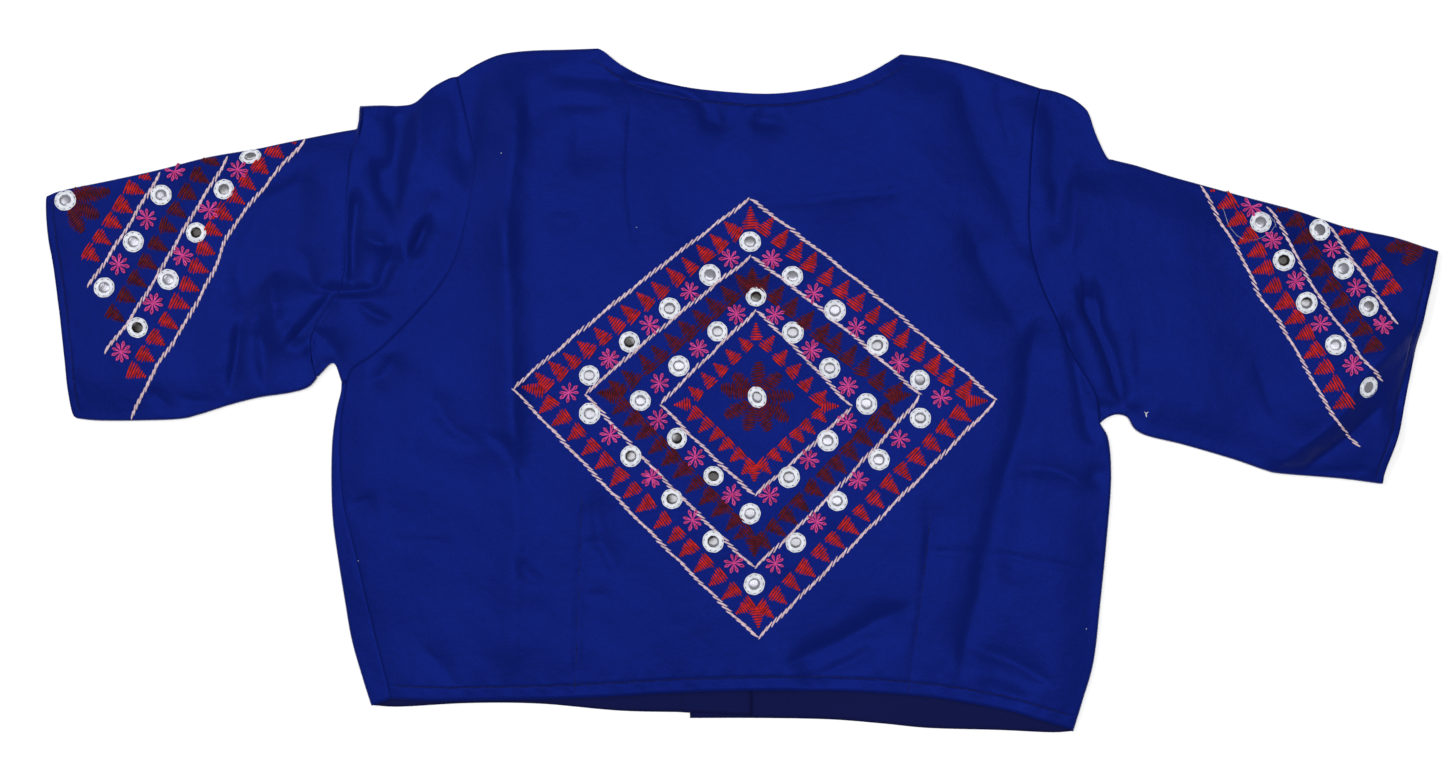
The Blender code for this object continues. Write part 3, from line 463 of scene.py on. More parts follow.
def crease_height(points, row):
    """What one crease adds to the height at each plan point."""
    crease = dict(zip(CREASE_COLUMNS, row))
    line = Line(crease["points"])
    reach = crease["width"] * (2.6 + 3.4 * abs(crease["steep"]))
    low = line.points.min(0) - reach
    high = line.points.max(0) + reach
    flat = points.reshape(-1, 2)
    near = np.flatnonzero(((flat > low) & (flat < high)).all(1))
    added = np.zeros(len(flat))
    if not len(near):
        return added.reshape(points.shape[:-1])
    start = line.points[:-1:2]
    end = np.vstack([start[1:], line.points[-1:]])
    run = end - start
    size = (run * run).sum(1)
    to_point = flat[near][:, None] - start
    share = np.clip((to_point * run).sum(-1) / size, 0, 1)
    off = to_point - share[..., None] * run
    apart = (off * off).sum(-1)
    best = apart.argmin(1)
    pick = np.arange(len(near))
    marks = np.concatenate([[0], np.cumsum(np.sqrt(size))])
    along = (marks[best] + share[pick, best] * np.sqrt(size)[best]) / marks[-1]
    turn = run[best, 0] * off[pick, best, 1] - run[best, 1] * off[pick, best, 0]
    side = np.sqrt(apart[pick, best]) * np.sign(turn) / crease["width"]
    to_window = (WINDOW_SIDE[1] * run[best, 0] - WINDOW_SIDE[0] * run[best, 1]) / np.sqrt(size)[best]
    steep = crease["steep"] * smooth(np.abs(to_window) * 1.2)
    sharp = side * to_window * np.sign(crease["steep"]) > 0
    spread = np.where(sharp, 1, 1 + 1.3 * np.abs(steep))
    end = min(CREASE_END, (2.2 * crease["width"] + 6) / marks[-1])
    taper = smooth(along / end) * smooth((1 - along) / end)
    across = np.exp(-1.7 * (np.sqrt((side / spread / (0.25 + 0.75 * taper)) ** 2 + 0.03) - 0.17))
    added[near] = crease["height"] * across * taper
    return added.reshape(points.shape[:-1])


def waver(points, seed, length, size):
    """Gentle unevenness of cloth that has been worn and folded."""
    draw = np.random.default_rng(seed)
    total = np.zeros(points.shape[:-1])
    ranges = ((0, math.tau), (0.6, 1.7), (0, math.tau))
    for turn, stretch, start in zip(*(draw.uniform(*limits, 9) for limits in ranges)):
        way = np.array([math.cos(turn), math.sin(turn)]) * math.tau / (length * stretch)
        total += np.sin(points @ way + start)
    return total / 9 * size * 2


FOLD_ROWS = (
    SHOULDER_LEFT, SHOULDER_RIGHT, SIDE_FOLD_RIGHT, SIDE_FOLD_LEFT, HEAD_CREST_LEFT, SLEEVE_CREST_LEFT,
    SLEEVE_UNDER_LEFT, ARMPIT_LEFT, SLEEVE_CREST_RIGHT, SLEEVE_UNDER_RIGHT,
)
NEAR_FOLD = Nearest(*[Line(rows).points for rows in FOLD_ROWS])
NEAR_HEM = Nearest(Line(BACK_HEM).points)
NECK_LOOP = np.vstack([Line(FRONT_NECK_LEFT).points[::-1], Line(FRONT_NECK_RIGHT).points])
NEAR_NECK_LOOP = Nearest(np.vstack([NECK_LOOP, NECK_LOOP[:1]]))
PLEAT_POINTS = Line(PLEAT_LINE).points
NEAR_PLEAT = Nearest(PLEAT_POINTS)
HEAD_LOOP = np.vstack([Line(rows).points[::-1] for rows in (PLEAT_LINE, HEAD_CREST_LEFT, ARMHOLE_LEFT)])
TURN_LINES = [
    Nearest(Line(BACK_HEM).aside(HEM_TURN).points),
    Nearest(Line(BACK_NECK).aside(-NECK_TURN).points),
    Nearest(Line(CUFF_RIGHT).aside(-CUFF_TURN).points),
    Nearest(Line(CUFF_LEFT).aside(CUFF_TURN).points),
]


def lap_height(points):
    """Height of the underside of the left front where it climbs on the right one."""
    start = FRONT_HEM_RIGHT[0][0] - 1 - LAP_RAMP
    return LAP_LIFT * smooth((points[..., 0] - start) / LAP_RAMP)


def puff(points):
    """How much higher the head of the left sleeve stands."""
    top = PLEAT_POINTS[0, 1]
    depth = (top - points[..., 1]) / (top - PLEAT_POINTS[-1, 1])
    return PUFF_HEIGHT * (1 - smooth(NEAR_PLEAT.to(points) / PUFF_SPAN)) * (1 - smooth(depth / PLEAT_END))


def top_height(points, on_head=None):
    """Height of the outer face of the top layer over the table, for plan points."""
    near_fold = NEAR_FOLD.to(points)
    at_fold = np.exp(-((near_fold / EDGE_SOFTNESS) ** 2) * 2)
    at_hem = np.exp(-((NEAR_HEM.to(points) / EDGE_SOFTNESS) ** 2) * 2)
    pull = at_fold * (FOLD_HEIGHT - BODY_HEIGHT) + at_hem * (HEM_HEIGHT - BODY_HEIGHT)
    height = BODY_HEIGHT + pull / np.maximum(1, at_fold + at_hem)
    bare = inside(points, NECK_LOOP)
    sink = smooth(NEAR_NECK_LOOP.to(points) / NECK_SAG_SPAN) * bare * smooth(near_fold / 40)
    height = height + sink * (NECK_HEIGHT - height)
    creases = sum(crease_height(points, row) for row in CREASES)
    relief = FULLNESS * smooth(near_fold / FULLNESS_REACH) + CREASE_GAIN * creases
    relief = relief + waver(points, 5, 60, 0.8) + waver(points, 23, 30, 0.22) + waver(points, 11, 17, 0.05)
    for near in TURN_LINES:
        away = near.to(points)
        wave = np.sin(points[..., 0] * 0.42 + 2 * np.sin(points[..., 1] * 0.21))
        pucker = 0.2 * wave * np.exp(-((away - 1.5) / 3) ** 2)
        relief = relief - 0.45 * np.exp(-((away / 0.6) ** 2)) + pucker
    calm = smooth(near_fold / 9)
    height = height + relief * (0.25 + 0.75 * calm)
    if on_head is None:
        on_head = inside(points, HEAD_LOOP)
    height = height + puff(points) * on_head
    least = CLOTH + np.where(bare, 0.1, CLOTH + 1.3)
    over_lap = (points[..., 0] < FRONT_HEM_LEFT[-1][0] + 8) & (points[..., 0] > -246) & ~bare
    least = least + np.where(over_lap, lap_height(points), 0)
    return least + SETTLING * np.logaddexp(0, (height - least) / SETTLING)


def progress(points):
    """How far along an edge each of its points lies, from 0 to 1."""
    marks = np.concatenate([[0], np.cumsum(np.linalg.norm(np.diff(points, axis=0), axis=1))])
    return marks / marks[-1] if marks[-1] > 1e-6 else np.linspace(0, 1, len(points))


def patch(left, right, bottom, top):
    """Plan points of a cloth grid between four edges that share their corners."""
    across = ((progress(bottom) + progress(top)) / 2)[None, :, None]
    up = ((progress(left) + progress(right)) / 2)[:, None, None]
    sides = (1 - across) * left[:, None] + across * right[:, None]
    ends = (1 - up) * bottom[None] + up * top[None]
    corners = (1 - up) * ((1 - across) * bottom[0] + across * bottom[-1])
    corners = corners + up * ((1 - across) * top[0] + across * top[-1])
    return sides + ends - corners


# Distances from a border at which the cloth has points of its own, and what it does there
BORDER = np.array([0, 0.06, 0.25, 0.55, 0.95, 1.4, 1.9])
TURNS = np.arcsin(1 - BORDER / 1.9)
SINKS = SEAM_DIP * (1 - BORDER / SEAM_REACH) ** 2
SHALLOW = 0.2


def shares(line, count, start=False, end=False, stitched=None):
    """Even shares of a line, with the points of a border at its start or end.

    A stitched distance, from the end when negative, gets the closer points of a groove.
    """
    first = BORDER if start else BORDER[:1]
    last = (line.length - BORDER[::-1]) if end else np.array([line.length])
    extra = np.array([])
    if stitched is not None:
        middle = stitched if stitched > 0 else line.length + stitched
        extra = middle + np.array(GROOVE)
    inner = np.linspace(first[-1], last[0], count - len(first) - len(last) - len(extra) + 2)
    return np.sort(np.concatenate([first, inner[1:-1], extra, last])) / line.length


def border_effect(plan, kinds):
    """How far each point has gone round a fold, and how deep it lies in a seam."""
    turn = np.zeros(plan.shape[:2])
    dip = np.zeros(plan.shape[:2])
    for side, names in kinds.items():
        for n in range(len(BORDER)):
            place = {
                "top": (-1 - n, slice(None)), "bottom": (n, slice(None)),
                "left": (slice(None), n), "right": (slice(None), -1 - n),
            }[side]
            fold = np.array([name == "fold" for name in names])
            seam = np.array([{"seam": 1, "high seam": SHALLOW}.get(name, 0) for name in names])
            turn[place] = np.where(fold, np.maximum(turn[place], TURNS[n]), turn[place])
            dip[place] = np.maximum(dip[place], SINKS[n] * seam)
    return turn, dip


def raised(plan, height):
    return np.concatenate([plan, np.broadcast_to(height, plan.shape[:-1])[..., None]], axis=-1)


def upper_sheet(plan, kinds, level=None):
    turn, dip = border_effect(plan, kinds)
    level = top_height(plan) if level is None else level
    return raised(plan, level / 2 * (1 + np.cos(turn)) - dip * np.cos(turn))


def lower_sheet(plan, kinds, lift=0.0, level=None):
    turn, dip = border_effect(plan, kinds)
    level = top_height(plan) if level is None else level
    return raised(plan, level / 2 * (1 - np.cos(turn)) + lift * np.cos(turn))


def grid_faces(rows, columns, first=0):
    corner = first + np.arange(rows - 1)[:, None] * columns + np.arange(columns - 1)[None]
    return np.stack([corner, corner + 1, corner + columns + 1, corner + columns], axis=-1).reshape(-1, 4)


def walled(vertices, faces):
    """Both faces and the rims of a thin cloth whose outer sheet is given."""
    across = np.cross(
        vertices[faces[:, 2]] - vertices[faces[:, 0]], vertices[faces[:, 3]] - vertices[faces[:, 1]],
    )
    normals = np.zeros_like(vertices)
    for k in range(4):
        np.add.at(normals, faces[:, k], across)
    size = np.linalg.norm(normals, axis=1)[:, None]
    normals = np.where(size > 1e-12, normals / np.maximum(size, 1e-12), [0, 0, 1])
    inner = vertices - normals * CLOTH
    pairs = np.concatenate([faces[:, [k, (k + 1) % 4]] for k in range(4)])
    count = len(vertices)
    forward = pairs[:, 0] * count + pairs[:, 1]
    back = pairs[:, 1] * count + pairs[:, 0]
    rims = pairs[~np.isin(forward, back)]
    rim_faces = np.stack([rims[:, 1], rims[:, 0], rims[:, 0] + count, rims[:, 1] + count], axis=1)
    all_faces = np.vstack([faces, rim_faces, faces[:, ::-1] + count])
    return np.vstack([vertices, inner]), all_faces, len(faces) + len(rim_faces)


def plain_mesh(name, points, faces):
    mesh = bpy.data.meshes.new(name)
    mesh.from_pydata((points * MM).tolist(), [], [list(map(int, face)) for face in faces])
    mesh.shade_smooth()
    return mesh


def place(name, mesh):
    piece = bpy.data.objects.new(name, mesh)
    bpy.context.scene.collection.objects.link(piece)
    return piece


def cloth_piece(name, node, vertices, faces, outside, inside_cloth):
    """A finished panel: the outer face in one cloth finish and the inner in another."""
    points, all_faces, first_inner = walled(vertices, faces)
    mesh = plain_mesh(name, points, all_faces)
    mesh.materials.append(outside)
    mesh.materials.append(inside_cloth)
    which = np.zeros(len(all_faces), np.int32)
    which[first_inner:] = 1
    mesh.polygons.foreach_set("material_index", which)
    piece = place(name, mesh)
    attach(piece, "root")
    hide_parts(node)
    return piece


def arm(rows):
    line = Line(rows)
    return line.at(shares(line, ARM_ROWS, end=True, stitched=-NECK_TURN))


def side_points(rows):
    """A side edge from the hem up, with closer points over the hem's stitching."""
    line = Line(rows)
    return line.at(shares(line, SIDE_ROWS, stitched=HEM_TURN))


def shoulder_left():
    line = Line(SHOULDER_LEFT)
    return line.at(shares(line, SHOULDER_COLUMNS, start=True))


def shoulder_right():
    line = Line(SHOULDER_RIGHT)
    return line.at(shares(line, SHOULDER_COLUMNS, end=True))


def make_back(outside, inside_cloth):
    left = join(side_points(SIDE_SEAM_LEFT), arm(ARMHOLE_LEFT))
    right = join(side_points(SIDE_FOLD_RIGHT), arm(ARMHOLE_RIGHT[::-1]))
    neck = Line(BACK_NECK)
    neck_at = np.concatenate([[0], np.linspace(0.004, 0.996, NECK_COLUMNS - 2), [1]])
    top = join(shoulder_left(), neck.at(neck_at), shoulder_right())
    hem = Line(BACK_HEM)
    bottom = hem.at(shares(hem, len(top), start=True, end=True))
    kinds = {
        "top": ["fold"] * SHOULDER_COLUMNS + ["edge"] * (NECK_COLUMNS - 2) + ["fold"] * SHOULDER_COLUMNS,
        "left": ["high seam"] * len(left),
        "right": ["fold"] * SIDE_ROWS + ["seam"] * (ARM_ROWS - 1),
    }
    plan = patch(left, right, bottom, top)
    sheet = upper_sheet(plan, kinds)
    rows, columns = plan.shape[:2]
    piece = cloth_piece(
        "back_panel", "back", sheet.reshape(-1, 3), grid_faces(rows, columns), outside, inside_cloth,
    )
    return piece


def add_grid(vertices, faces, sheet, shared, side):
    """Add a grid that shares its first or last column with vertices that are there already."""
    rows, columns = sheet.shape[:2]
    place_of = np.empty((rows, columns), int)
    own = slice(1, None) if side == "left" else slice(0, -1)
    place_of[:, 0 if side == "left" else -1] = shared
    place_of[:, own] = len(vertices) + np.arange(rows * (columns - 1)).reshape(rows, columns - 1)
    vertices = np.vstack([vertices, sheet[:, own].reshape(-1, 3)])
    return vertices, np.vstack([faces, place_of.ravel()[grid_faces(rows, columns)]])


def make_front_right(outside, inside_cloth):
    side = join(side_points(SIDE_FOLD_RIGHT), arm(ARMHOLE_RIGHT[::-1]))
    neck, hem = Line(FRONT_NECK_RIGHT), Line(FRONT_HEM_RIGHT)
    bend, foot = neck.share_at_x(NECK_BEND_RIGHT), hem.share_at_x(NECK_BEND_RIGHT)
    down = np.linspace(hem.at(foot), neck.at(bend), BEND_ROWS)
    inner_edge = join(down, neck.at(np.linspace(bend, 1, len(side) - BEND_ROWS + 1)))
    shoulder = shoulder_right()
    hem_side = hem.at(foot + (1 - foot) * shares(Line(SHOULDER_RIGHT), SHOULDER_COLUMNS, end=True))
    hem_side[-1] = side[0]
    kinds = {"top": ["fold"] * SHOULDER_COLUMNS, "right": ["fold"] * SIDE_ROWS + ["seam"] * (ARM_ROWS - 1)}
    plan = patch(inner_edge, side, hem_side, shoulder)
    sheet = lower_sheet(plan, kinds)
    rows, columns = plan.shape[:2]
    placket = np.linspace(hem.at(0), neck.at(0), BEND_ROWS)
    lap = patch(
        placket, down, hem.at(np.linspace(0, foot, FRONT_COLUMNS)),
        neck.at(np.linspace(0, bend, FRONT_COLUMNS)),
    )
    shared = np.arange(BEND_ROWS) * columns
    vertices, faces = add_grid(
        sheet.reshape(-1, 3), grid_faces(rows, columns), raised(lap, 0.0), shared, "right",
    )
    piece = cloth_piece(
        "right_front_panel", "front_right", vertices, faces[:, ::-1], outside, inside_cloth,
    )
    return piece


def wrap_rows(crest, seam):
    """The rows by which the left front comes round its fold, as far as the side seam on top."""
    across = seam - crest[:, :2]
    room = np.linalg.norm(across, axis=1)
    way = across / room[:, None]
    rows = []
    roll = np.minimum(1.9, room * 0.45)
    for share in (0.03, 0.13, 0.29, 0.5, 0.74, 1.0):
        plan = crest[:, :2] + way * (roll * share)[:, None]
        level = top_height(plan)
        rise = math.cos(math.asin(1 - share))
        rows.append(np.column_stack([plan, crest[:, 2] + (level - crest[:, 2]) * rise]))
    for share in (0.3, 0.6, 0.8, 0.9, 0.96, 1.0):
        away = roll + (room - roll) * share
        plan = crest[:, :2] + way * away[:, None]
        sink = SEAM_DIP * np.clip(1 - (room - away) / SEAM_REACH, 0, 1) ** 2
        rows.append(np.column_stack([plan, top_height(plan) - sink]))
    return rows


def make_front_left(outside, inside_cloth):
    upper_side = np.vstack([Line(SIDE_FOLD_LEFT).points[-1:], arm(ARMHOLE_LEFT)])
    side = join(side_points(SIDE_FOLD_LEFT), upper_side)
    neck, hem = Line(FRONT_NECK_LEFT[::-1]), Line(FRONT_HEM_LEFT)
    bend, foot = neck.share_at_x(NECK_BEND_LEFT), hem.share_at_x(NECK_BEND_LEFT)
    down = np.linspace(hem.at(foot), neck.at(bend), BEND_ROWS)
    inner_edge = join(down, neck.at(np.linspace(bend, 0, len(side) - BEND_ROWS + 1)))
    hem_side = hem.at(foot * shares(Line(SHOULDER_LEFT), SHOULDER_COLUMNS, start=True))
    kinds = {"top": ["fold"] * SHOULDER_COLUMNS, "left": ["fold"] * SIDE_ROWS + ["seam"] * ARM_ROWS}
    plan = patch(side, inner_edge, hem_side, shoulder_left())
    sheet = lower_sheet(plan, kinds, lap_height(plan))
    rows, columns = plan.shape[:2]
    ramp_end = FRONT_HEM_RIGHT[0][0] - 1
    ramp_start = ramp_end - LAP_RAMP
    stretches = (
        (NECK_BEND_LEFT, ramp_start, 6),
        (ramp_start, ramp_end, 6),
        (ramp_end, FRONT_HEM_LEFT[-1][0], 12),
    )
    stops = np.concatenate([np.linspace(*stretch)[1:] for stretch in stretches])
    columns_on = [
        np.linspace(hem.at(hem.share_at_x(x)), neck.at(neck.share_at_x(x)), BEND_ROWS) for x in stops
    ]
    lap = np.stack([down, *columns_on], axis=1)
    shared = np.arange(BEND_ROWS) * columns + columns - 1
    vertices, faces = add_grid(
        sheet.reshape(-1, 3), grid_faces(rows, columns), raised(lap, lap_height(lap)), shared, "left",
    )
    faces = faces[:, ::-1]
    edge = np.arange(SIDE_ROWS) * columns
    for row in wrap_rows(sheet[:SIDE_ROWS, 0], side_points(SIDE_SEAM_LEFT)):
        new = len(vertices) + np.arange(SIDE_ROWS)
        vertices = np.vstack([vertices, row])
        faces = np.vstack([faces, np.stack([new[:-1], new[1:], edge[1:], edge[:-1]], axis=1)])
        edge = new
    piece = cloth_piece(
        "left_front_panel", "front_left", vertices, faces, outside, inside_cloth,
    )
    return piece


def tube_piece(name, node, upper, lower, outside, inside_cloth):
    """A flattened sleeve, its two layers joined along both folds."""
    rows, columns = upper.shape[:2]
    count = rows * columns
    vertices = np.vstack([upper.reshape(-1, 3), lower.reshape(-1, 3)])
    merge = np.arange(count)
    merge = np.where((merge < columns) | (merge >= count - columns), merge, merge + count)
    faces = np.vstack([grid_faces(rows, columns), merge[grid_faces(rows, columns)[:, ::-1]]])
    used = np.unique(faces)
    place_of = np.full(2 * count, -1)
    place_of[used] = np.arange(len(used))
    piece = cloth_piece(name, node, vertices[used], place_of[faces], outside, inside_cloth)
    return piece


def make_sleeve_right(outside, inside_cloth):
    under = Line(SLEEVE_UNDER_RIGHT)
    hole = Line(ARMHOLE_RIGHT[::-1])
    cuff = Line(CUFF_RIGHT[::-1])
    crest = Line(SLEEVE_CREST_RIGHT)
    left = hole.at(shares(hole, ARM_ROWS, start=True, end=True))
    right = cuff.at(shares(cuff, ARM_ROWS, start=True, end=True))
    columns = SLEEVE_COLUMNS + HEAD_COLUMNS
    bottom = under.at(shares(under, columns, start=True, stitched=-CUFF_TURN))
    top = crest.at(shares(crest, columns, start=True, stitched=-CUFF_TURN))
    plan = patch(left, right, bottom, top)
    kinds = {"top": ["fold"] * columns, "bottom": ["fold"] * columns, "left": ["high seam"] * ARM_ROWS}
    upper = upper_sheet(plan, kinds)
    lower = lower_sheet(plan, kinds, SLEEVE_RISE)
    return tube_piece("right_sleeve_tube", "sleeve_right", upper, lower, outside, inside_cloth)


# The pleat of the left sleeve head, from the head round its lip to the sleeve below:
# which line the points follow, how far in they lie and what share of the height is left
PLEAT_COLUMNS = ("line", "inwards", "share")
PLEAT_SECTION = [
    ("foot", 0.0, 0.0), ("foot", 1.5, 0.02), ("foot", 3.0, 0.08), ("lip", 2.8, 0.24), ("lip", 1.4, 0.28),
    ("lip", 0.5, 0.38), ("lip", 0.0, 0.58), ("lip", 0.15, 0.78), ("lip", 0.8, 0.93), ("lip", 1.9, 1.0),
]


def make_sleeve_left(outside, inside_cloth):
    hole = Line(np.vstack([Line(SIDE_FOLD_LEFT).points[-1:], ARMHOLE_LEFT]))
    rows = ARM_ROWS
    armhole = hole.at(shares(hole, rows, start=True, end=True))
    pleat = Line(PLEAT_LINE[::-1])
    lip_at = shares(pleat, rows, start=True, end=True)
    low_end = 1 - 13.2 / pleat.length
    foot_at = np.where(lip_at < 0.6, lip_at, 0.6 + (lip_at - 0.6) * (low_end - 0.6) / 0.4)
    lip = pleat.at(lip_at)
    foot = pleat.at(foot_at)
    run = np.gradient(lip, axis=0)
    run /= np.linalg.norm(run, axis=1)[:, None]
    inwards = np.stack([run[:, 1], -run[:, 0]], axis=1)
    head_top, head_bottom = Line(HEAD_CREST_LEFT[::-1]), Line(ARMPIT_LEFT[::-1])
    head = patch(
        lip, armhole, head_bottom.at(shares(head_bottom, HEAD_COLUMNS, end=True)),
        head_top.at(shares(head_top, HEAD_COLUMNS, end=True)),
    )
    start = foot - inwards * TUCK_SPREAD
    crest, under, cuff = Line(SLEEVE_CREST_LEFT[::-1]), Line(SLEEVE_UNDER_LEFT[::-1]), Line(CUFF_LEFT[::-1])
    top = crest.at(shares(crest, SLEEVE_COLUMNS, stitched=CUFF_TURN))
    bottom = under.at(shares(under, SLEEVE_COLUMNS, stitched=CUFF_TURN))
    top[-1] = start[-1]
    bottom[-1] = start[0]
    outer = patch(cuff.at(shares(cuff, rows, start=True, end=True)), start, bottom, top)
    tall = puff(lip) / PUFF_HEIGHT
    part = np.clip(tall * 2.5, 0, 1)[:, None]
    sleeve_level = top_height(lip, on_head=np.zeros(len(lip), bool))
    flat_columns, lip_columns, levels = [], [], []
    for n, row in enumerate(PLEAT_SECTION):
        section = dict(zip(PLEAT_COLUMNS, row))
        spread = start + (lip + inwards * 0.6 - start) * (n + 1) / (len(PLEAT_SECTION) + 1)
        line = foot if section["line"] == "foot" else lip
        folded = line + inwards * section["inwards"] * tall[:, None]
        flat_columns.append(spread)
        lip_columns.append(spread + (folded - spread) * part)
        levels.append(sleeve_level + PUFF_HEIGHT * tall * section["share"])
    head = head[:, 1:]
    lower_plan = np.concatenate([outer, np.stack(flat_columns, axis=1), head], axis=1)
    upper_plan = np.concatenate([outer, np.stack(lip_columns, axis=1), head], axis=1)
    columns = lower_plan.shape[1]
    kinds = {"top": ["fold"] * columns, "bottom": ["fold"] * columns, "right": ["seam"] * rows}
    on_head = np.zeros((rows, columns), bool)
    on_head[:, SLEEVE_COLUMNS:] = True
    level = top_height(upper_plan, on_head)
    level[:, SLEEVE_COLUMNS : SLEEVE_COLUMNS + len(PLEAT_SECTION)] = np.stack(levels, axis=1)
    upper = upper_sheet(upper_plan, kinds, level)
    lower = lower_sheet(lower_plan, kinds, SLEEVE_RISE, level)
    lower[0], lower[-1] = upper[0], upper[-1]
    return tube_piece("left_sleeve_tube", "sleeve_left", upper, lower, outside, inside_cloth)


def look_along(point_heading, normal):
    """Turns that lay a stitch's length along a heading on a surface with the given normal."""
    turns = []
    for (x, y), up in zip(point_heading, normal):
        up = Vector(up).normalized()
        along = Vector((x, y, 0))
        along = (along - up * along.dot(up)).normalized()
        across = up.cross(along)
        turns.append(Matrix((along, across, up)).transposed().to_euler()[:])
    return np.array(turns)


class Spots:
    """Places for one kind of stitch: plan place, heading, length, width, height and lift."""

    COLUMNS = ("x", "y", "heading", "length", "width", "tall", "lift")

    def __init__(self):
        self.rows = []

    def add(self, x, y, heading, length, width, tall, lift=0.0):
        self.rows.append((x, y, heading, length, width, tall, lift))

    def table(self, below=False):
        rows = np.array(self.rows, float)
        x, y, heading, length, width, tall, lift = rows.T
        plan = rows[:, :2]
        if below:
            normal = np.tile([0.0, 0.0, -1.0], (len(rows), 1))
            height = np.full(len(rows), SLEEVE_RISE)
        else:
            step = 0.6
            height = top_height(plan)
            slope_x = (top_height(plan + [step, 0]) - top_height(plan - [step, 0])) / (2 * step)
            slope_y = (top_height(plan + [0, step]) - top_height(plan - [0, step])) / (2 * step)
            normal = np.stack([-slope_x, -slope_y, np.ones(len(rows))], axis=1)
            normal /= np.linalg.norm(normal, axis=1)[:, None]
        where = np.column_stack([plan, height]) + normal * lift[:, None]
        turn = look_along(np.stack([np.cos(heading), np.sin(heading)], axis=1), normal)
        return where, turn, np.stack([length, width, tall * (0.5 if below else 1)], axis=1)


def sockets(tree, kind, names):
    for name, form in names:
        tree.interface.new_socket(name, in_out=kind, socket_type="NodeSocket" + form)


def feed(tree, node, values):
    """Give the inputs of a node their values, or link them where a value is another node's socket."""
    for slot, value in values.items():
        if isinstance(value, bpy.types.NodeSocket):
            tree.links.new(value, node.inputs[slot])
        else:
            node.inputs[slot].default_value = value


def wired(tree, kind, values=None, **settings):
    """A new node with its settings and the values of its inputs; its outputs."""
    node = tree.nodes.new(kind)
    for name, setting in settings.items():
        setattr(node, name, setting)
    feed(tree, node, values or {})
    return node.outputs


def maths(tree, operation, *values):
    return wired(tree, "ShaderNodeMath", dict(enumerate(values)), operation=operation)[0]


def sewing_tree():
    """Sets one stitch at each point by its own turn and size, a little unevenly."""
    tree = bpy.data.node_groups.new("hand sewing", "GeometryNodeTree")
    forms = (("Geometry", "Geometry"), ("Stitch", "Object"), ("Thread", "Material"), ("Unevenness", "Float"))
    sockets(tree, "INPUT", [*forms, ("Seed", "Int")])
    sockets(tree, "OUTPUT", [("Geometry", "Geometry")])
    given = wired(tree, "NodeGroupInput")
    turn, size = (
        wired(tree, "GeometryNodeInputNamedAttribute", {"Name": name}, data_type="FLOAT_VECTOR")["Attribute"]
        for name in ("turn", "size")
    )
    limits = {"Min": (-1, -1, -1), "Max": (1, 1, 1), "Seed": given["Seed"]}
    spread = wired(tree, "FunctionNodeRandomValue", limits, data_type="FLOAT_VECTOR")["Value"]
    uneven = {0: spread, "Scale": given["Unevenness"]}
    scaled = wired(tree, "ShaderNodeVectorMath", uneven, operation="SCALE")["Vector"]
    added = wired(tree, "ShaderNodeVectorMath", {0: turn, 1: scaled})["Vector"]
    laid = wired(tree, "GeometryNodeInstanceOnPoints", {
        "Points": given["Geometry"],
        "Instance": wired(tree, "GeometryNodeObjectInfo", {"Object": given["Stitch"]})["Geometry"],
        "Rotation": wired(tree, "FunctionNodeEulerToRotation", {0: added})[0],
        "Scale": size,
    })["Instances"]
    real = wired(tree, "GeometryNodeRealizeInstances", {"Geometry": laid})["Geometry"]
    finish = wired(tree, "GeometryNodeSetMaterial", {"Geometry": real, "Material": given["Thread"]})
    wired(tree, "NodeGroupOutput", {0: finish["Geometry"]})
    return tree


SEWING = sewing_tree()


def sew(name, tables, stitch, thread, unevenness, seed):
    """Lay a stitch at every place of the tables and keep the result as one plain piece."""
    where = np.vstack([table[0] for table in tables]) * MM
    turn = np.vstack([table[1] for table in tables])
    size = np.vstack([table[2] for table in tables]) * MM
    points = bpy.data.meshes.new(name + "_places")
    points.from_pydata(where.tolist(), [], [])
    for title, values in (("turn", turn), ("size", size)):
        attribute = points.attributes.new(title, "FLOAT_VECTOR", "POINT")
        attribute.data.foreach_set("vector", values.ravel())
    holder = place(name + "_holder", points)
    sewing = holder.modifiers.new("sewing", "NODES")
    sewing.node_group = SEWING
    values = {"Stitch": stitch, "Thread": thread, "Unevenness": unevenness, "Seed": seed}
    for item in SEWING.interface.items_tree:
        if item.in_out == "INPUT" and item.name in values:
            sewing[item.identifier] = values[item.name]
    bpy.context.view_layer.update()
    graph = bpy.context.evaluated_depsgraph_get()
    mesh = bpy.data.meshes.new_from_object(holder.evaluated_get(graph), depsgraph=graph)
    mesh.name = name
    bpy.data.objects.remove(holder)
    piece = place(name, mesh)
    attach(piece, "root")
    return piece


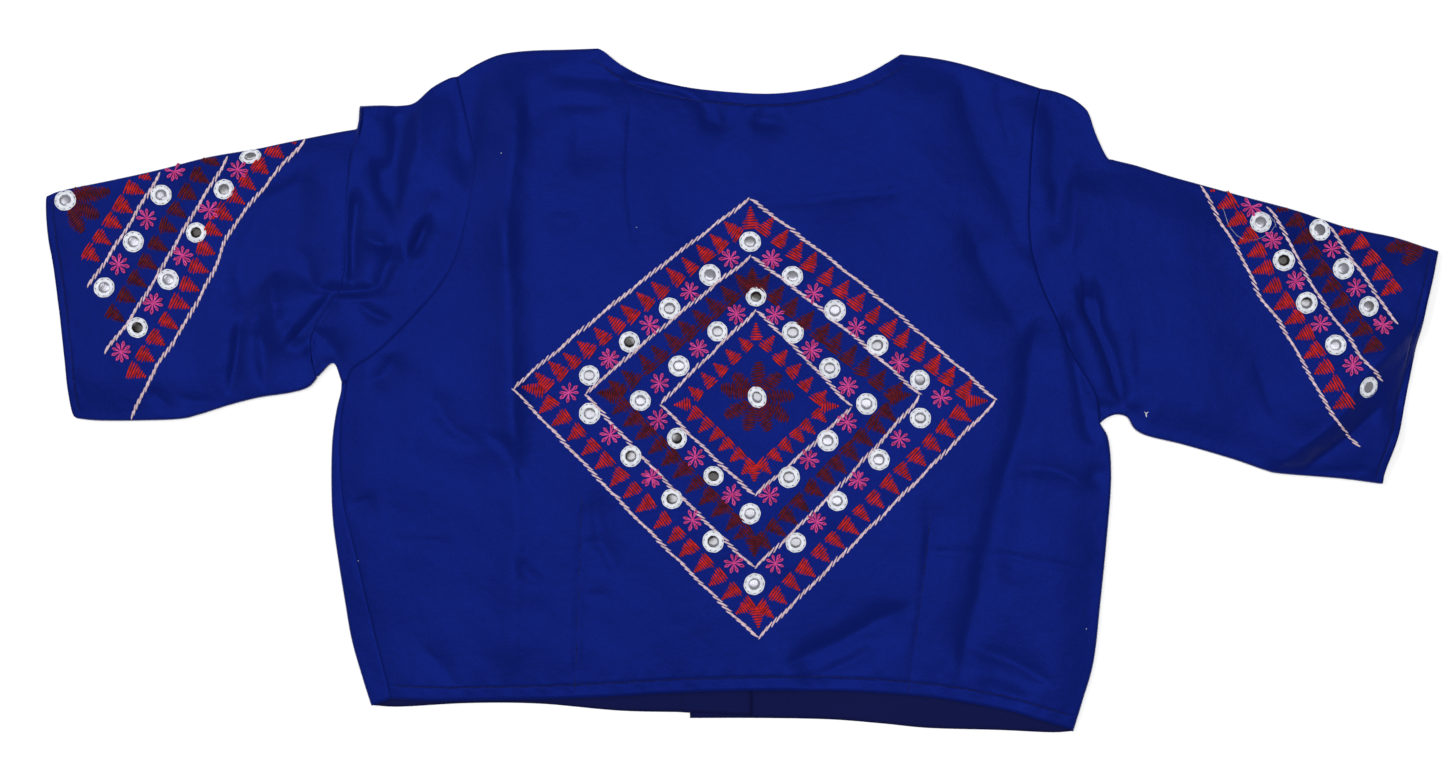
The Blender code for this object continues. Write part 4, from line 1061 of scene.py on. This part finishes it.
def swept(name, path, radii, sides, closed=False):
    """A thread along a path of points, with its length as u and its girth as v."""
    path = np.array(path, float)
    count = len(path)
    vertices, faces, uv = [], [], []
    for n in range(count):
        before = path[(n - 1) % count] if closed else path[max(n - 1, 0)]
        after = path[(n + 1) % count] if closed else path[min(n + 1, count - 1)]
        run = after - before
        run /= np.linalg.norm(run)
        across = np.cross([0, 0, 1], run)
        across /= np.linalg.norm(across)
        up = np.cross(run, across)
        for k in range(sides):
            turn = math.tau * k / sides
            wide, tall = radii[n]
            vertices.append(path[n] + across * wide * math.cos(turn) + up * tall * math.sin(turn))
    for n in range(count if closed else count - 1):
        for k in range(sides):
            m, after = (k + 1) % sides, (n + 1) % count
            faces.append([n * sides + k, n * sides + m, after * sides + m, after * sides + k])
            u0, u1 = n / count, (n + 1) / count
            v0, v1 = k / sides, (k + 1) / sides
            uv += [(u0, v0), (u0, v1), (u1, v1), (u1, v0)]
    if not closed:
        for end, flip in ((0, True), (count - 1, False)):
            cap = [end * sides + k for k in range(sides)]
            faces.append(cap[::-1] if flip else cap)
            uv += [(end / count, 0.5)] * sides
    mesh = bpy.data.meshes.new(name)
    mesh.from_pydata(vertices, [], [f[::-1] for f in faces])
    layer = mesh.uv_layers.new(name="UVMap")
    for loop, value in zip(mesh.loops, range(len(mesh.loops))):
        layer.data[loop.index].uv = uv[value] if value < len(uv) else (0, 0)
    mesh.shade_smooth()
    return place(name, mesh)


def straight_stitch():
    """One thread that comes out of the cloth and goes in again, 1 long, 1 wide and 1 tall."""
    shares_along = np.linspace(-0.5, 0.5, 6)
    path = [(x, 0, 0.42 - 2.6 * x * x) for x in shares_along]
    radii = [(0.5 * (1 - 1.5 * x * x) + 0.01, 0.5 * (1 - 1.2 * x * x)) for x in shares_along]
    return swept("straight stitch", path, radii, 5)


def loop_stitch():
    """A narrow thread loop with a round end, from its foot at 0 out to 1."""
    path = []
    for turn in np.linspace(0, math.tau, 16, endpoint=False):
        x = 0.5 - 0.43 * math.cos(turn)
        y = 0.25 * math.sin(turn) * (0.08 + 0.92 * x * x)
        path.append((x, y, 0.3 + 0.35 * math.sin(math.pi * min(x, 1))))
    return swept("loop stitch", path, [(0.08, 0.5)] * 16, 5, closed=True)


def band(vertices, faces, uv, around, sides, point):
    """A closed ring of faces whose points come from a function of turn and girth."""
    first = len(vertices)
    for n in range(around):
        for k in range(sides):
            vertices.append(point(n, math.tau * n / around, math.tau * k / sides))
    for n in range(around):
        for k in range(sides):
            m, after = (k + 1) % sides, (n + 1) % around
            here, there = first + n * sides, first + after * sides
            faces.append([here + k, there + k, there + m, here + m])
            for a, b in ((n, k), (n + 1, k), (n + 1, k + 1), (n, k + 1)):
                uv.append((a / around, b / sides))


def ring_stitches():
    """The thread ring that holds a mirror: a band of strands with a rope round its rim."""
    gaps = {3, 8, 14, 19, 23, 29, 34, 40, 45}

    def strands(n, turn, girth):
        outer = 0.405 if n in gaps else 0.445
        middle, half = (0.25 + outer) / 2, (outer - 0.25) / 2
        radius = middle + half * math.cos(girth) + 0.006 * math.cos(8 * turn)
        ridge = 0.03 * (n % 2)
        return (radius * math.cos(turn), radius * math.sin(turn), 0.30 + (0.5 + ridge) * math.sin(girth))

    def rim(n, turn, girth):
        radius = 0.466 + 0.008 * math.cos(8 * turn + 0.6) + 0.034 * math.cos(girth)
        return (radius * math.cos(turn), radius * math.sin(turn), 0.26 + 0.36 * math.sin(girth))

    vertices, faces, uv = [], [], []
    band(vertices, faces, uv, 48, 8, strands)
    band(vertices, faces, uv, 32, 4, rim)
    mesh = bpy.data.meshes.new("ring")
    mesh.from_pydata(vertices, [], faces)
    layer = mesh.uv_layers.new(name="UVMap")
    layer.data.foreach_set("uv", np.array(uv).ravel())
    mesh.shade_smooth()
    return place("ring", mesh)


def glass_disc():
    """A small mirror, domed a little and turned down at its edge."""
    sides = 22
    vertices = [(0, 0, 0.3)]
    faces = []
    for radius, height in ((0.22, 0.28), (0.42, 0.2), (0.5, -0.1)):
        first = len(vertices)
        for k in range(sides):
            turn = math.tau * k / sides
            vertices.append((radius * math.cos(turn), radius * math.sin(turn), height))
        for k in range(sides):
            m = (k + 1) % sides
            if first == 1:
                faces.append([0, first + k, first + m])
            else:
                faces.append([first - sides + k, first + k, first + m, first - sides + m])
    mesh = bpy.data.meshes.new("glass")
    mesh.from_pydata(vertices, [], faces)
    mesh.shade_smooth()
    return place("glass", mesh)


def rope(spots, line, draw, width=1.25):
    """A twisted line: slanting stitches that each start beside the one before."""
    count = max(2, int(line.length / ROPE_PITCH))
    for n in range(count):
        share = (n + 0.5) / count
        long = ROPE_PITCH * 1.3
        if n in (0, count - 1):
            share += 0.2 / count if n == 0 else -0.2 / count
            long = ROPE_PITCH * 1.05
        (x, y), (x0, y0), (x1, y1) = line.at([share, max(share - 0.01, 0), min(share + 0.01, 1)])
        heading = math.atan2(y1 - y0, x1 - x0)
        wave = 0.3 * math.sin(n * 0.9) + draw.normal(0, 0.12)
        place = (x - wave * math.sin(heading), y + wave * math.cos(heading))
        spots.add(
            *place, heading + 0.27 + draw.normal(0, 0.04), long, width * draw.uniform(0.88, 1.12), 1.0,
        )


def row_across(spots, x, y, heading, away, turn, length, width, draw):
    """One thread across a leaf or triangle, a distance out along its heading."""
    px = x + away * math.cos(heading)
    py = y + away * math.sin(heading)
    spots.add(px, py, heading + math.pi / 2 + turn + draw.normal(0, 0.04), length, width, 1.0)


def triangle(spots, x, y, heading, wide, tall, draw, thread=1.4):
    """Parallel threads that get shorter towards the tip, like a small fir."""
    wide *= draw.uniform(0.88, 1.1)
    tall *= draw.uniform(0.93, 1.07)
    heading += draw.normal(0, 0.06)
    slant = draw.normal(0.04, 0.05)
    rows = round(tall / ROW_PITCH) + 1
    for n in range(rows):
        length = wide * (1 - n / rows) ** 0.95 * draw.uniform(0.8, 1.08) + 0.2
        if n == 0:
            length *= 0.8
        row_across(spots, x, y, heading, tall * n / (rows - 1), slant, length, thread, draw)


def flower(spots, x, y, draw, size=LOOP_LENGTH):
    """Thread loops set round a point."""
    loops = int(draw.integers(8, 10))
    start = draw.uniform(0, math.tau)
    for n in range(loops):
        heading = start + math.tau * n / loops + draw.normal(0, 0.07)
        length = size * draw.uniform(0.86, 1.12)
        spots.add(x + 0.9 * math.cos(heading), y + 0.9 * math.sin(heading), heading, length, length, 1.1)


def petal(spots, x, y, heading, tip, draw):
    """A long leaf of threads that lie across it, from the mirror's rim out to its round tip."""
    start = 6.0
    count = int((tip - start) / ROW_PITCH)
    for n in range(count):
        share = (n + 0.5) / count
        wide = 6.8 * math.sin(math.pi * (0.12 + 0.8 * share)) ** 0.7 * draw.uniform(0.9, 1.1)
        row_across(spots, x, y, heading, start + (tip - start) * share, 0.24, wide, 1.35, draw)


def bowed(corners, bows):
    """The four sides of a diamond, each a little bowed outwards."""
    corners = [np.array(corner, float) for corner in corners]
    middle = np.mean(corners, axis=0)
    sides = []
    for start, end, bow in zip(corners, corners[1:] + corners[:1], bows):
        halfway = (start + end) / 2
        out = (halfway - middle) / np.linalg.norm(halfway - middle)
        near, far = (start * 3 + end) / 4, (start + end * 3) / 4
        slight = out * bow * 0.7
        sides.append(Line([start, near + slight, halfway + out * bow, far + slight, end]))
    return sides


class Needlework:
    """All places of the hand stitching, by thread."""

    KINDS = ("cream", "red", "maroon", "pink", "ring", "glass")

    def __init__(self, seed):
        self.draw = np.random.default_rng(seed)
        for kind in self.KINDS:
            setattr(self, kind, Spots())

    def mirror(self, x, y, size=1.0, oval=1.0, turn=None):
        turn = self.draw.uniform(0, math.tau) if turn is None else turn
        oval = oval * self.draw.uniform(0.93, 1.0)
        across = RING_ACROSS * size * self.draw.uniform(0.95, 1.05)
        self.ring.add(x, y, turn, across, across * oval, 1.25)
        glass = GLASS_ACROSS * size * self.draw.uniform(0.96, 1.04)
        self.glass.add(x, y, turn, glass, glass * oval, 0.9, 0.1)

    def alternate(self, points, mirror_first):
        for n, (x, y) in enumerate(points):
            if (n % 2 == 0) == mirror_first:
                self.mirror(x, y)
            else:
                flower(self.pink, x, y, self.draw)

    def teeth(self, kind, corners, sides, wide, tall, corner_tall, corner_gap, thread=1.4):
        """Triangles along the sides of a diamond, with one at each corner that points out of it."""
        spots = getattr(self, kind)
        corners = np.array(corners, float)
        middle = corners.mean(0)
        for start, end, row in zip(corners, np.roll(corners, -1, axis=0), sides):
            side = dict(zip(TEETH_COLUMNS, row))
            length = np.linalg.norm(end - start)
            run = (end - start) / length
            outward = np.array([run[1], -run[0]])
            facing = math.atan2(outward[1], outward[0])
            away = (start - middle) / np.linalg.norm(start - middle)
            x, y = start - away * (corner_gap + corner_tall)
            triangle(spots, x, y, math.atan2(away[1], away[0]), wide, corner_tall, self.draw, thread)
            for along in np.linspace(side["first"], length - side["last"], side["count"]):
                x, y = start + run * (along + self.draw.normal(0, 0.4)) - outward * side["depth"]
                triangle(spots, x, y, facing + side["lean"], wide, tall, self.draw, thread)

    def keep_on(self, loop, crest_turn):
        """Leave out or shorten what would stand over the edge of the cloth."""
        edge = Nearest(np.vstack([loop, loop[:1]]))
        for kind in self.KINDS:
            spots = getattr(self, kind)
            if not spots.rows:
                continue
            rows = np.array(spots.rows)
            room = edge.to(rows[:, :2]) * np.where(inside(rows[:, :2], loop), 1, -1)
            if kind == "pink":
                tip = rows[:, :2] + np.stack([np.cos(rows[:, 2]), np.sin(rows[:, 2])], axis=1) * rows[:, 3:4]
                rows = rows[(room > 0.8) & inside(tip, loop)]
            elif kind in ("ring", "glass"):
                close = (room > -1) & (room < RING_ACROSS / 2)
                least = 0.33 * RING_ACROSS
                inward = np.array([math.sin(crest_turn), -math.cos(crest_turn)])
                rows[close, :2] += inward * np.maximum(least - room[close], 0)[:, None]
                rows[close, 2] = crest_turn
                rows[close, 4] *= np.maximum(room[close], least) * 2 / RING_ACROSS
                rows = rows[room > -1]
            else:
                way = np.stack([np.cos(rows[:, 2]), np.sin(rows[:, 2])], axis=1)
                for sign in (1, -1) * 4:
                    end = rows[:, :2] + way * rows[:, 3:4] / 2 * sign
                    out = ~inside(end, loop) | (edge.to(end) < 0.9)
                    rows[out, :2] -= way[out] * rows[out, 3:4] / 8 * sign
                    rows[out, 3] *= 0.75
                room = edge.to(rows[:, :2]) * np.where(inside(rows[:, :2], loop), 1, -1)
                rows = rows[room > 1.1]
            spots.rows = [tuple(row) for row in rows]


def points_on(corners, steps):
    """Points at even steps along each side of a closed figure."""
    corners = [np.array(corner, float) for corner in corners]
    return [
        start + (end - start) * n / steps
        for start, end in zip(corners, corners[1:] + corners[:1])
        for n in range(steps)
    ]


def back_work():
    work = Needlework(7)
    diamonds = ((OUTER_DIAMOND, OUTER_BOWS), (MIDDLE_DIAMOND, MIDDLE_BOWS), (INNER_DIAMOND, INNER_BOWS))
    for corners, bows in diamonds:
        for side in bowed(corners, bows):
            rope(work.cream, side, work.draw)
    work.alternate(points_on(OUTER_PATH, 9), True)
    work.alternate(points_on(INNER_PATH, 6), True)
    work.teeth("red", OUTER_DIAMOND, OUTER_TEETH, 8.0, 11, 11.6, 6.2)
    work.teeth("maroon", MIDDLE_DIAMOND, MIDDLE_TEETH, 9.4, 11.4, 11.6, 7, 1.4)
    work.teeth("red", INNER_DIAMOND, INNER_TEETH, 7.2, 8.6, 8.8, 8.6)
    x, y = FLOWER_CENTRE
    for degrees, tip in BACK_PETALS:
        petal(work.maroon, x, y, math.radians(degrees), tip, work.draw)
    work.mirror(x, y, 1.0, 0.84, math.radians(112))
    return work


def sleeve_work(lines, paths, teeth, cuff_side, seed, mirrors_first, loop, cuff_flower, petals):
    """The bands of one sleeve. cuff_side is 1 where the cuff lies to the left of the lines."""
    work = Needlework(seed)
    drawn = [Line(rows) for rows in lines]
    for line in drawn:
        rope(work.cream, line, work.draw)
    for rows, first, count, crowd in zip(paths, mirrors_first, (10, 6), (1.12, 1.0)):
        work.alternate(Line(rows).at(np.linspace(0, 1, count) ** crowd), first)
    for line, (kind, count, first, last) in zip(drawn, teeth):
        base = line.aside(13.6 * cuff_side)
        for share in np.linspace(first, last, count):
            (x, y), (x0, y0), (x1, y1) = base.at([share, max(share - 0.02, 0), min(share + 0.02, 1)])
            heading = math.atan2(y1 - y0, x1 - x0) - math.pi / 2 * cuff_side
            triangle(getattr(work, kind), x, y, heading, 9.0, 10.6, work.draw)
    x, y = cuff_flower
    for degrees, tip in petals:
        petal(work.maroon, x, y, math.radians(degrees), tip, work.draw)
    work.keep_on(loop, math.radians(-12 * cuff_side))
    return work


def noise(tree, place_on, **values):
    return wired(tree, "ShaderNodeTexNoise", {"Vector": place_on, **values})["Fac"]


def bump(tree, height, strength, distance, **under):
    values = {"Height": height, "Strength": strength, "Distance": distance, **under}
    return wired(tree, "ShaderNodeBump", values)["Normal"]


def mixed(tree, share, dark, light):
    return wired(tree, "ShaderNodeMix", {0: share, 6: dark, 7: light}, data_type="RGBA")[2]


def weave_group():
    """Fine yarns both ways, soft crumple and cloudy tone, as two heights and two masks."""
    tree = bpy.data.node_groups.new("satin weave", "ShaderNodeTree")
    sockets(tree, "INPUT", [("Yarns per metre", "Float"), ("Crumple per metre", "Float")])
    sockets(tree, "OUTPUT", [(name, "Float") for name in ("Yarn height", "Crumple height", "Tone", "Cloud")])
    given = wired(tree, "NodeGroupInput")
    place_on = wired(tree, "ShaderNodeTexCoord")["Object"]
    yarns = []
    for stretch in ((1.0, 0.07, 0.07), (0.09, 1.0, 0.09)):
        mapping = wired(tree, "ShaderNodeMapping", {"Scale": stretch, "Vector": place_on})["Vector"]
        yarns.append(noise(tree, mapping, Detail=1.5, Scale=given["Yarns per metre"]))
    both = maths(tree, "ADD", *yarns)
    wired(tree, "NodeGroupOutput", {
        "Yarn height": both,
        "Tone": maths(tree, "MULTIPLY", both, 0.5),
        "Crumple height": noise(tree, place_on, Detail=3.0, Roughness=0.55, Scale=given["Crumple per metre"]),
        "Cloud": noise(tree, place_on, Scale=14.0, Detail=2.0),
    })
    return tree


def ply_group():
    """The twisted plies of embroidery thread, its upper side as a mask against the painted shade at its
    sides, and the colour's unevenness along it.
    """
    tree = bpy.data.node_groups.new("thread ply", "ShaderNodeTree")
    sockets(tree, "INPUT", [("Turns", "Float"), ("Strands", "Float")])
    sockets(tree, "OUTPUT", [(name, "Float") for name in ("Height", "Tone", "Crown outside painted shade")])
    given = wired(tree, "NodeGroupInput")
    surface = wired(tree, "ShaderNodeUVMap", uv_map="UVMap")["UV"]
    apart = wired(tree, "ShaderNodeSeparateXYZ", {0: surface})
    upward = maths(tree, "SINE", maths(tree, "MULTIPLY", apart["Y"], math.tau))
    turns = maths(tree, "MULTIPLY", apart["X"], given["Turns"])
    girth = maths(tree, "MULTIPLY_ADD", apart["Y"], given["Strands"], turns)
    # mask for painted shade: 1 on the thread's top, falling to 0 at its sides, where a darker colour is
    # painted
    painted_shade_crown = {"From Min": 0.25, "From Max": 0.85, "Value": upward}
    wired(tree, "NodeGroupOutput", {
        "Crown outside painted shade": wired(tree, "ShaderNodeMapRange", painted_shade_crown)["Result"],
        "Height": maths(tree, "SINE", maths(tree, "MULTIPLY", girth, math.tau)),
        "Tone": noise(tree, wired(tree, "ShaderNodeTexCoord")["Object"], Scale=330.0, Detail=2.0),
    })
    return tree


def principled(name):
    material = bpy.data.materials.new(name)
    material.use_nodes = True
    return material, material.node_tree, material.node_tree.nodes["Principled BSDF"]


def cloth_finish(name, weave, dark, light, roughness, gleam):
    """Satin whose gleam keeps the colour of its yarns."""
    material, tree, shader = principled(name)
    counts = {"Yarns per metre": 3600.0, "Crumple per metre": 110.0}
    cloth = wired(tree, "ShaderNodeGroup", counts, node_tree=weave)
    cloud = maths(tree, "MULTIPLY", cloth["Cloud"], 0.5)
    tone = maths(tree, "MULTIPLY_ADD", cloth["Tone"], 0.55, cloud)
    crumple = bump(tree, cloth["Crumple height"], 0.42, 0.0013)
    feed(tree, shader, {
        "Base Color": mixed(tree, tone, (*dark, 1), (*light, 1)),
        "Roughness": roughness,
        "Sheen Weight": 0.08,
        "Sheen Roughness": 0.4,
        "Sheen Tint": (0.06, 0.14, 1.0, 1.0),
        "Specular IOR Level": gleam,
        "Specular Tint": (0.03, 0.085, 1.0, 1.0),
        "Normal": bump(tree, cloth["Yarn height"], 0.5, 0.00016, Normal=crumple),
    })
    return material


def thread_finish(name, ply, dark, light, turns, strands, roughness=0.55, shaded=False):
    """Cotton thread. A shaded one has painted shade at its sides: darker colour in place of the shadow
    between rows that lie close together.
    """
    material, tree, shader = principled(name)
    thread = wired(tree, "ShaderNodeGroup", {0: turns, 1: strands}, node_tree=ply)
    spread = {"From Min": 0.32, "From Max": 0.68, "Value": thread["Tone"]}
    tone = mixed(tree, wired(tree, "ShaderNodeMapRange", spread)["Result"], (*dark, 1), (*light, 1))
    # painted shade: a darkened copy of the thread's colour for its sides, mixed in by the crown mask
    side = (*(part * THREAD_SIDE_PAINTED_SHADE for part in dark), 1)
    feed(tree, shader, {
        "Base Color": mixed(tree, thread["Crown outside painted shade"] if shaded else 1.0, side, tone),
        "Roughness": roughness,
        "Sheen Weight": 0.08,
        "Specular IOR Level": 0.06,
        "Normal": bump(tree, thread["Height"], 0.6, 0.00012),
    })
    return material


def glass_finish():
    """Old mirror glass: most pieces dull and pale, a few dark."""
    material, tree, shader = principled("mirror glass")
    cells = noise(tree, wired(tree, "ShaderNodeTexCoord")["Object"], Scale=36.0, Detail=0.0)
    ramp = tree.nodes.new("ShaderNodeValToRGB")
    dull, pale = ramp.color_ramp.elements
    dull.position = 0.36
    dull.color = (0.012, 0.011, 0.01, 1)
    pale.position = 0.6
    pale.color = (0.26, 0.26, 0.3, 1)
    ramp.color_ramp.elements.new(0.4).color = (0.15, 0.15, 0.16, 1)
    feed(tree, ramp, {"Fac": cells})
    feed(tree, shader, {
        "Base Color": ramp.outputs["Color"],
        "Metallic": 0.3,
        "Roughness": 0.2,
        "Specular IOR Level": 0.2,
    })
    return material


def machine_rows():
    """Machine stitching along the turned edges and the darts of the top layer."""
    rows = [
        (Line(BACK_HEM).aside(HEM_TURN), 0.01, 0.99), (Line(BACK_NECK).aside(-NECK_TURN), 0.01, 0.99),
        (Line(CUFF_RIGHT).aside(-CUFF_TURN), 0.03, 0.97), (Line(CUFF_LEFT).aside(CUFF_TURN), 0.03, 0.97),
        (Line([(-96, -66), (-98, -120), (-100, -177)]), 0, 1),
        (Line([(112, -78), (106, -128), (99, -179)]), 0, 1),
    ]
    spots = Spots()
    draw = np.random.default_rng(3)
    for line, start, end in rows:
        count = int(line.length * (end - start) / MACHINE_STITCH)
        for n, share in enumerate(np.linspace(start, end, count)):
            (x, y), (x0, y0), (x1, y1) = line.at([share, max(share - 0.004, 0), min(share + 0.004, 1)])
            heading = math.atan2(y1 - y0, x1 - x0) + 0.12 * (-1) ** n + draw.normal(0, 0.05)
            spots.add(x, y + 0.12 * (-1) ** n, heading, MACHINE_STITCH * 0.86, 0.5, 0.4)
    return spots


def stray_threads():
    """The white tack at the underarm, specks of lint and a fine loose thread on the sleeve."""
    spots = Spots()
    for x, y, heading, length, width in STRAYS:
        spots.add(x, y, math.radians(heading), length, width, width)
    loose = Line(LOOSE_THREAD)
    for share in np.linspace(0, 1, 14):
        (x, y), (x0, y0), (x1, y1) = loose.at([share, max(share - 0.03, 0), min(share + 0.03, 1)])
        spots.add(x, y, math.atan2(y1 - y0, x1 - x0), loose.length / 12, 0.2, 0.2)
    return spots


def studio():
    floor_mesh = bpy.data.meshes.new("floor")
    square = ((-1, -1), (1, -1), (1, 1), (-1, 1))
    corners = [(x * FLOOR_REACH, y * FLOOR_REACH, FLOOR_LEVEL) for x, y in square]
    floor_mesh.from_pydata(corners, [], [[0, 1, 2, 3]])
    floor = place("floor", floor_mesh)
    material, tree, shader = principled("pale floor")
    feed(tree, shader, {"Base Color": (0.98, 0.98, 0.98, 1), "Roughness": 0.9})
    floor_mesh.materials.append(material)
    bpy.context.scene.view_settings.view_transform = "Standard"
    world = bpy.data.worlds.new("studio")
    world.use_nodes = True
    sky = world.node_tree
    feed(sky, sky.nodes["Background"], {"Color": (1, 1, 1, 1), "Strength": 0.15})
    bpy.context.scene.world = world
    for name, where, wide, deep, power in LAMPS:
        lamp = bpy.data.lights.new(name, "AREA")
        lamp.shape = "RECTANGLE"
        lamp.size = wide
        lamp.size_y = deep
        lamp.energy = power
        holder = bpy.data.objects.new(name, lamp)
        holder.location = where
        if name == "window":
            holder.rotation_euler = (-Vector(where)).to_track_quat("-Z", "Y").to_euler()
        bpy.context.scene.collection.objects.link(holder)
    lens = bpy.data.cameras.new("camera")
    lens.lens = 50
    lens.sensor_width = 36
    camera = bpy.data.objects.new("camera", lens)
    camera.location = CAMERA_PLACE
    bpy.context.scene.collection.objects.link(camera)
    bpy.context.scene.camera = camera


def main():
    weave, ply = weave_group(), ply_group()
    satin = cloth_finish("royal blue satin face", weave, *SATIN_FACE)
    inside_cloth = cloth_finish("royal blue satin inside", weave, *SATIN_INSIDE)
    for make in (make_back, make_front_left, make_front_right, make_sleeve_left, make_sleeve_right):
        make(satin, inside_cloth)
    left_loop = np.vstack([Line(rows).points for rows in (SLEEVE_CREST_LEFT, CUFF_LEFT)] + [
        Line(rows).points[::-1] for rows in (SLEEVE_UNDER_LEFT, PLEAT_LINE)
    ])
    right_loop = np.vstack([
        Line(SLEEVE_CREST_RIGHT).points, Line(CUFF_RIGHT).points, Line(SLEEVE_UNDER_RIGHT).points[::-1],
    ])
    left = sleeve_work(
        LEFT_LINES, LEFT_PATHS, LEFT_TEETH, -1, 21, (True, False), left_loop, LEFT_CUFF_FLOWER,
        LEFT_PETALS,
    )
    left.mirror(*LEFT_CUFF_FLOWER)
    right = sleeve_work(
        RIGHT_LINES, RIGHT_PATHS, RIGHT_TEETH, 1, 22, (False, True), right_loop, RIGHT_CUFF_FLOWER,
        RIGHT_PETALS,
    )
    works = [(back_work(), False), (left, True), (right, True)]
    stitches = {
        "straight": straight_stitch(), "loop": loop_stitch(), "ring": ring_stitches(),
        "glass": glass_disc(),
    }
    finishes = {name: thread_finish(name + " thread", ply, *row) for name, row in THREADS.items()}
    finishes["glass"] = glass_finish()
    for seed, (kind, name, stitch, finish, unevenness) in enumerate(STITCHED):
        tables = [getattr(work, kind).table() for work, _ in works if getattr(work, kind).rows]
        below = [work for work, both in works if both]
        tables += [getattr(work, kind).table(True) for work in below if getattr(work, kind).rows]
        sew(name, tables, stitches[stitch], finishes[finish], unevenness, seed)
    strays, rows = [stray_threads().table()], [machine_rows().table()]
    straight = stitches["straight"]
    sew("stray_threads", strays, straight, finishes["white"], 0.05, 30)
    sew("machine_stitching", rows, straight, finishes["blue"], 0.03, 31)
    for stitch in stitches.values():
        bpy.data.objects.remove(stitch)
    studio()


main()
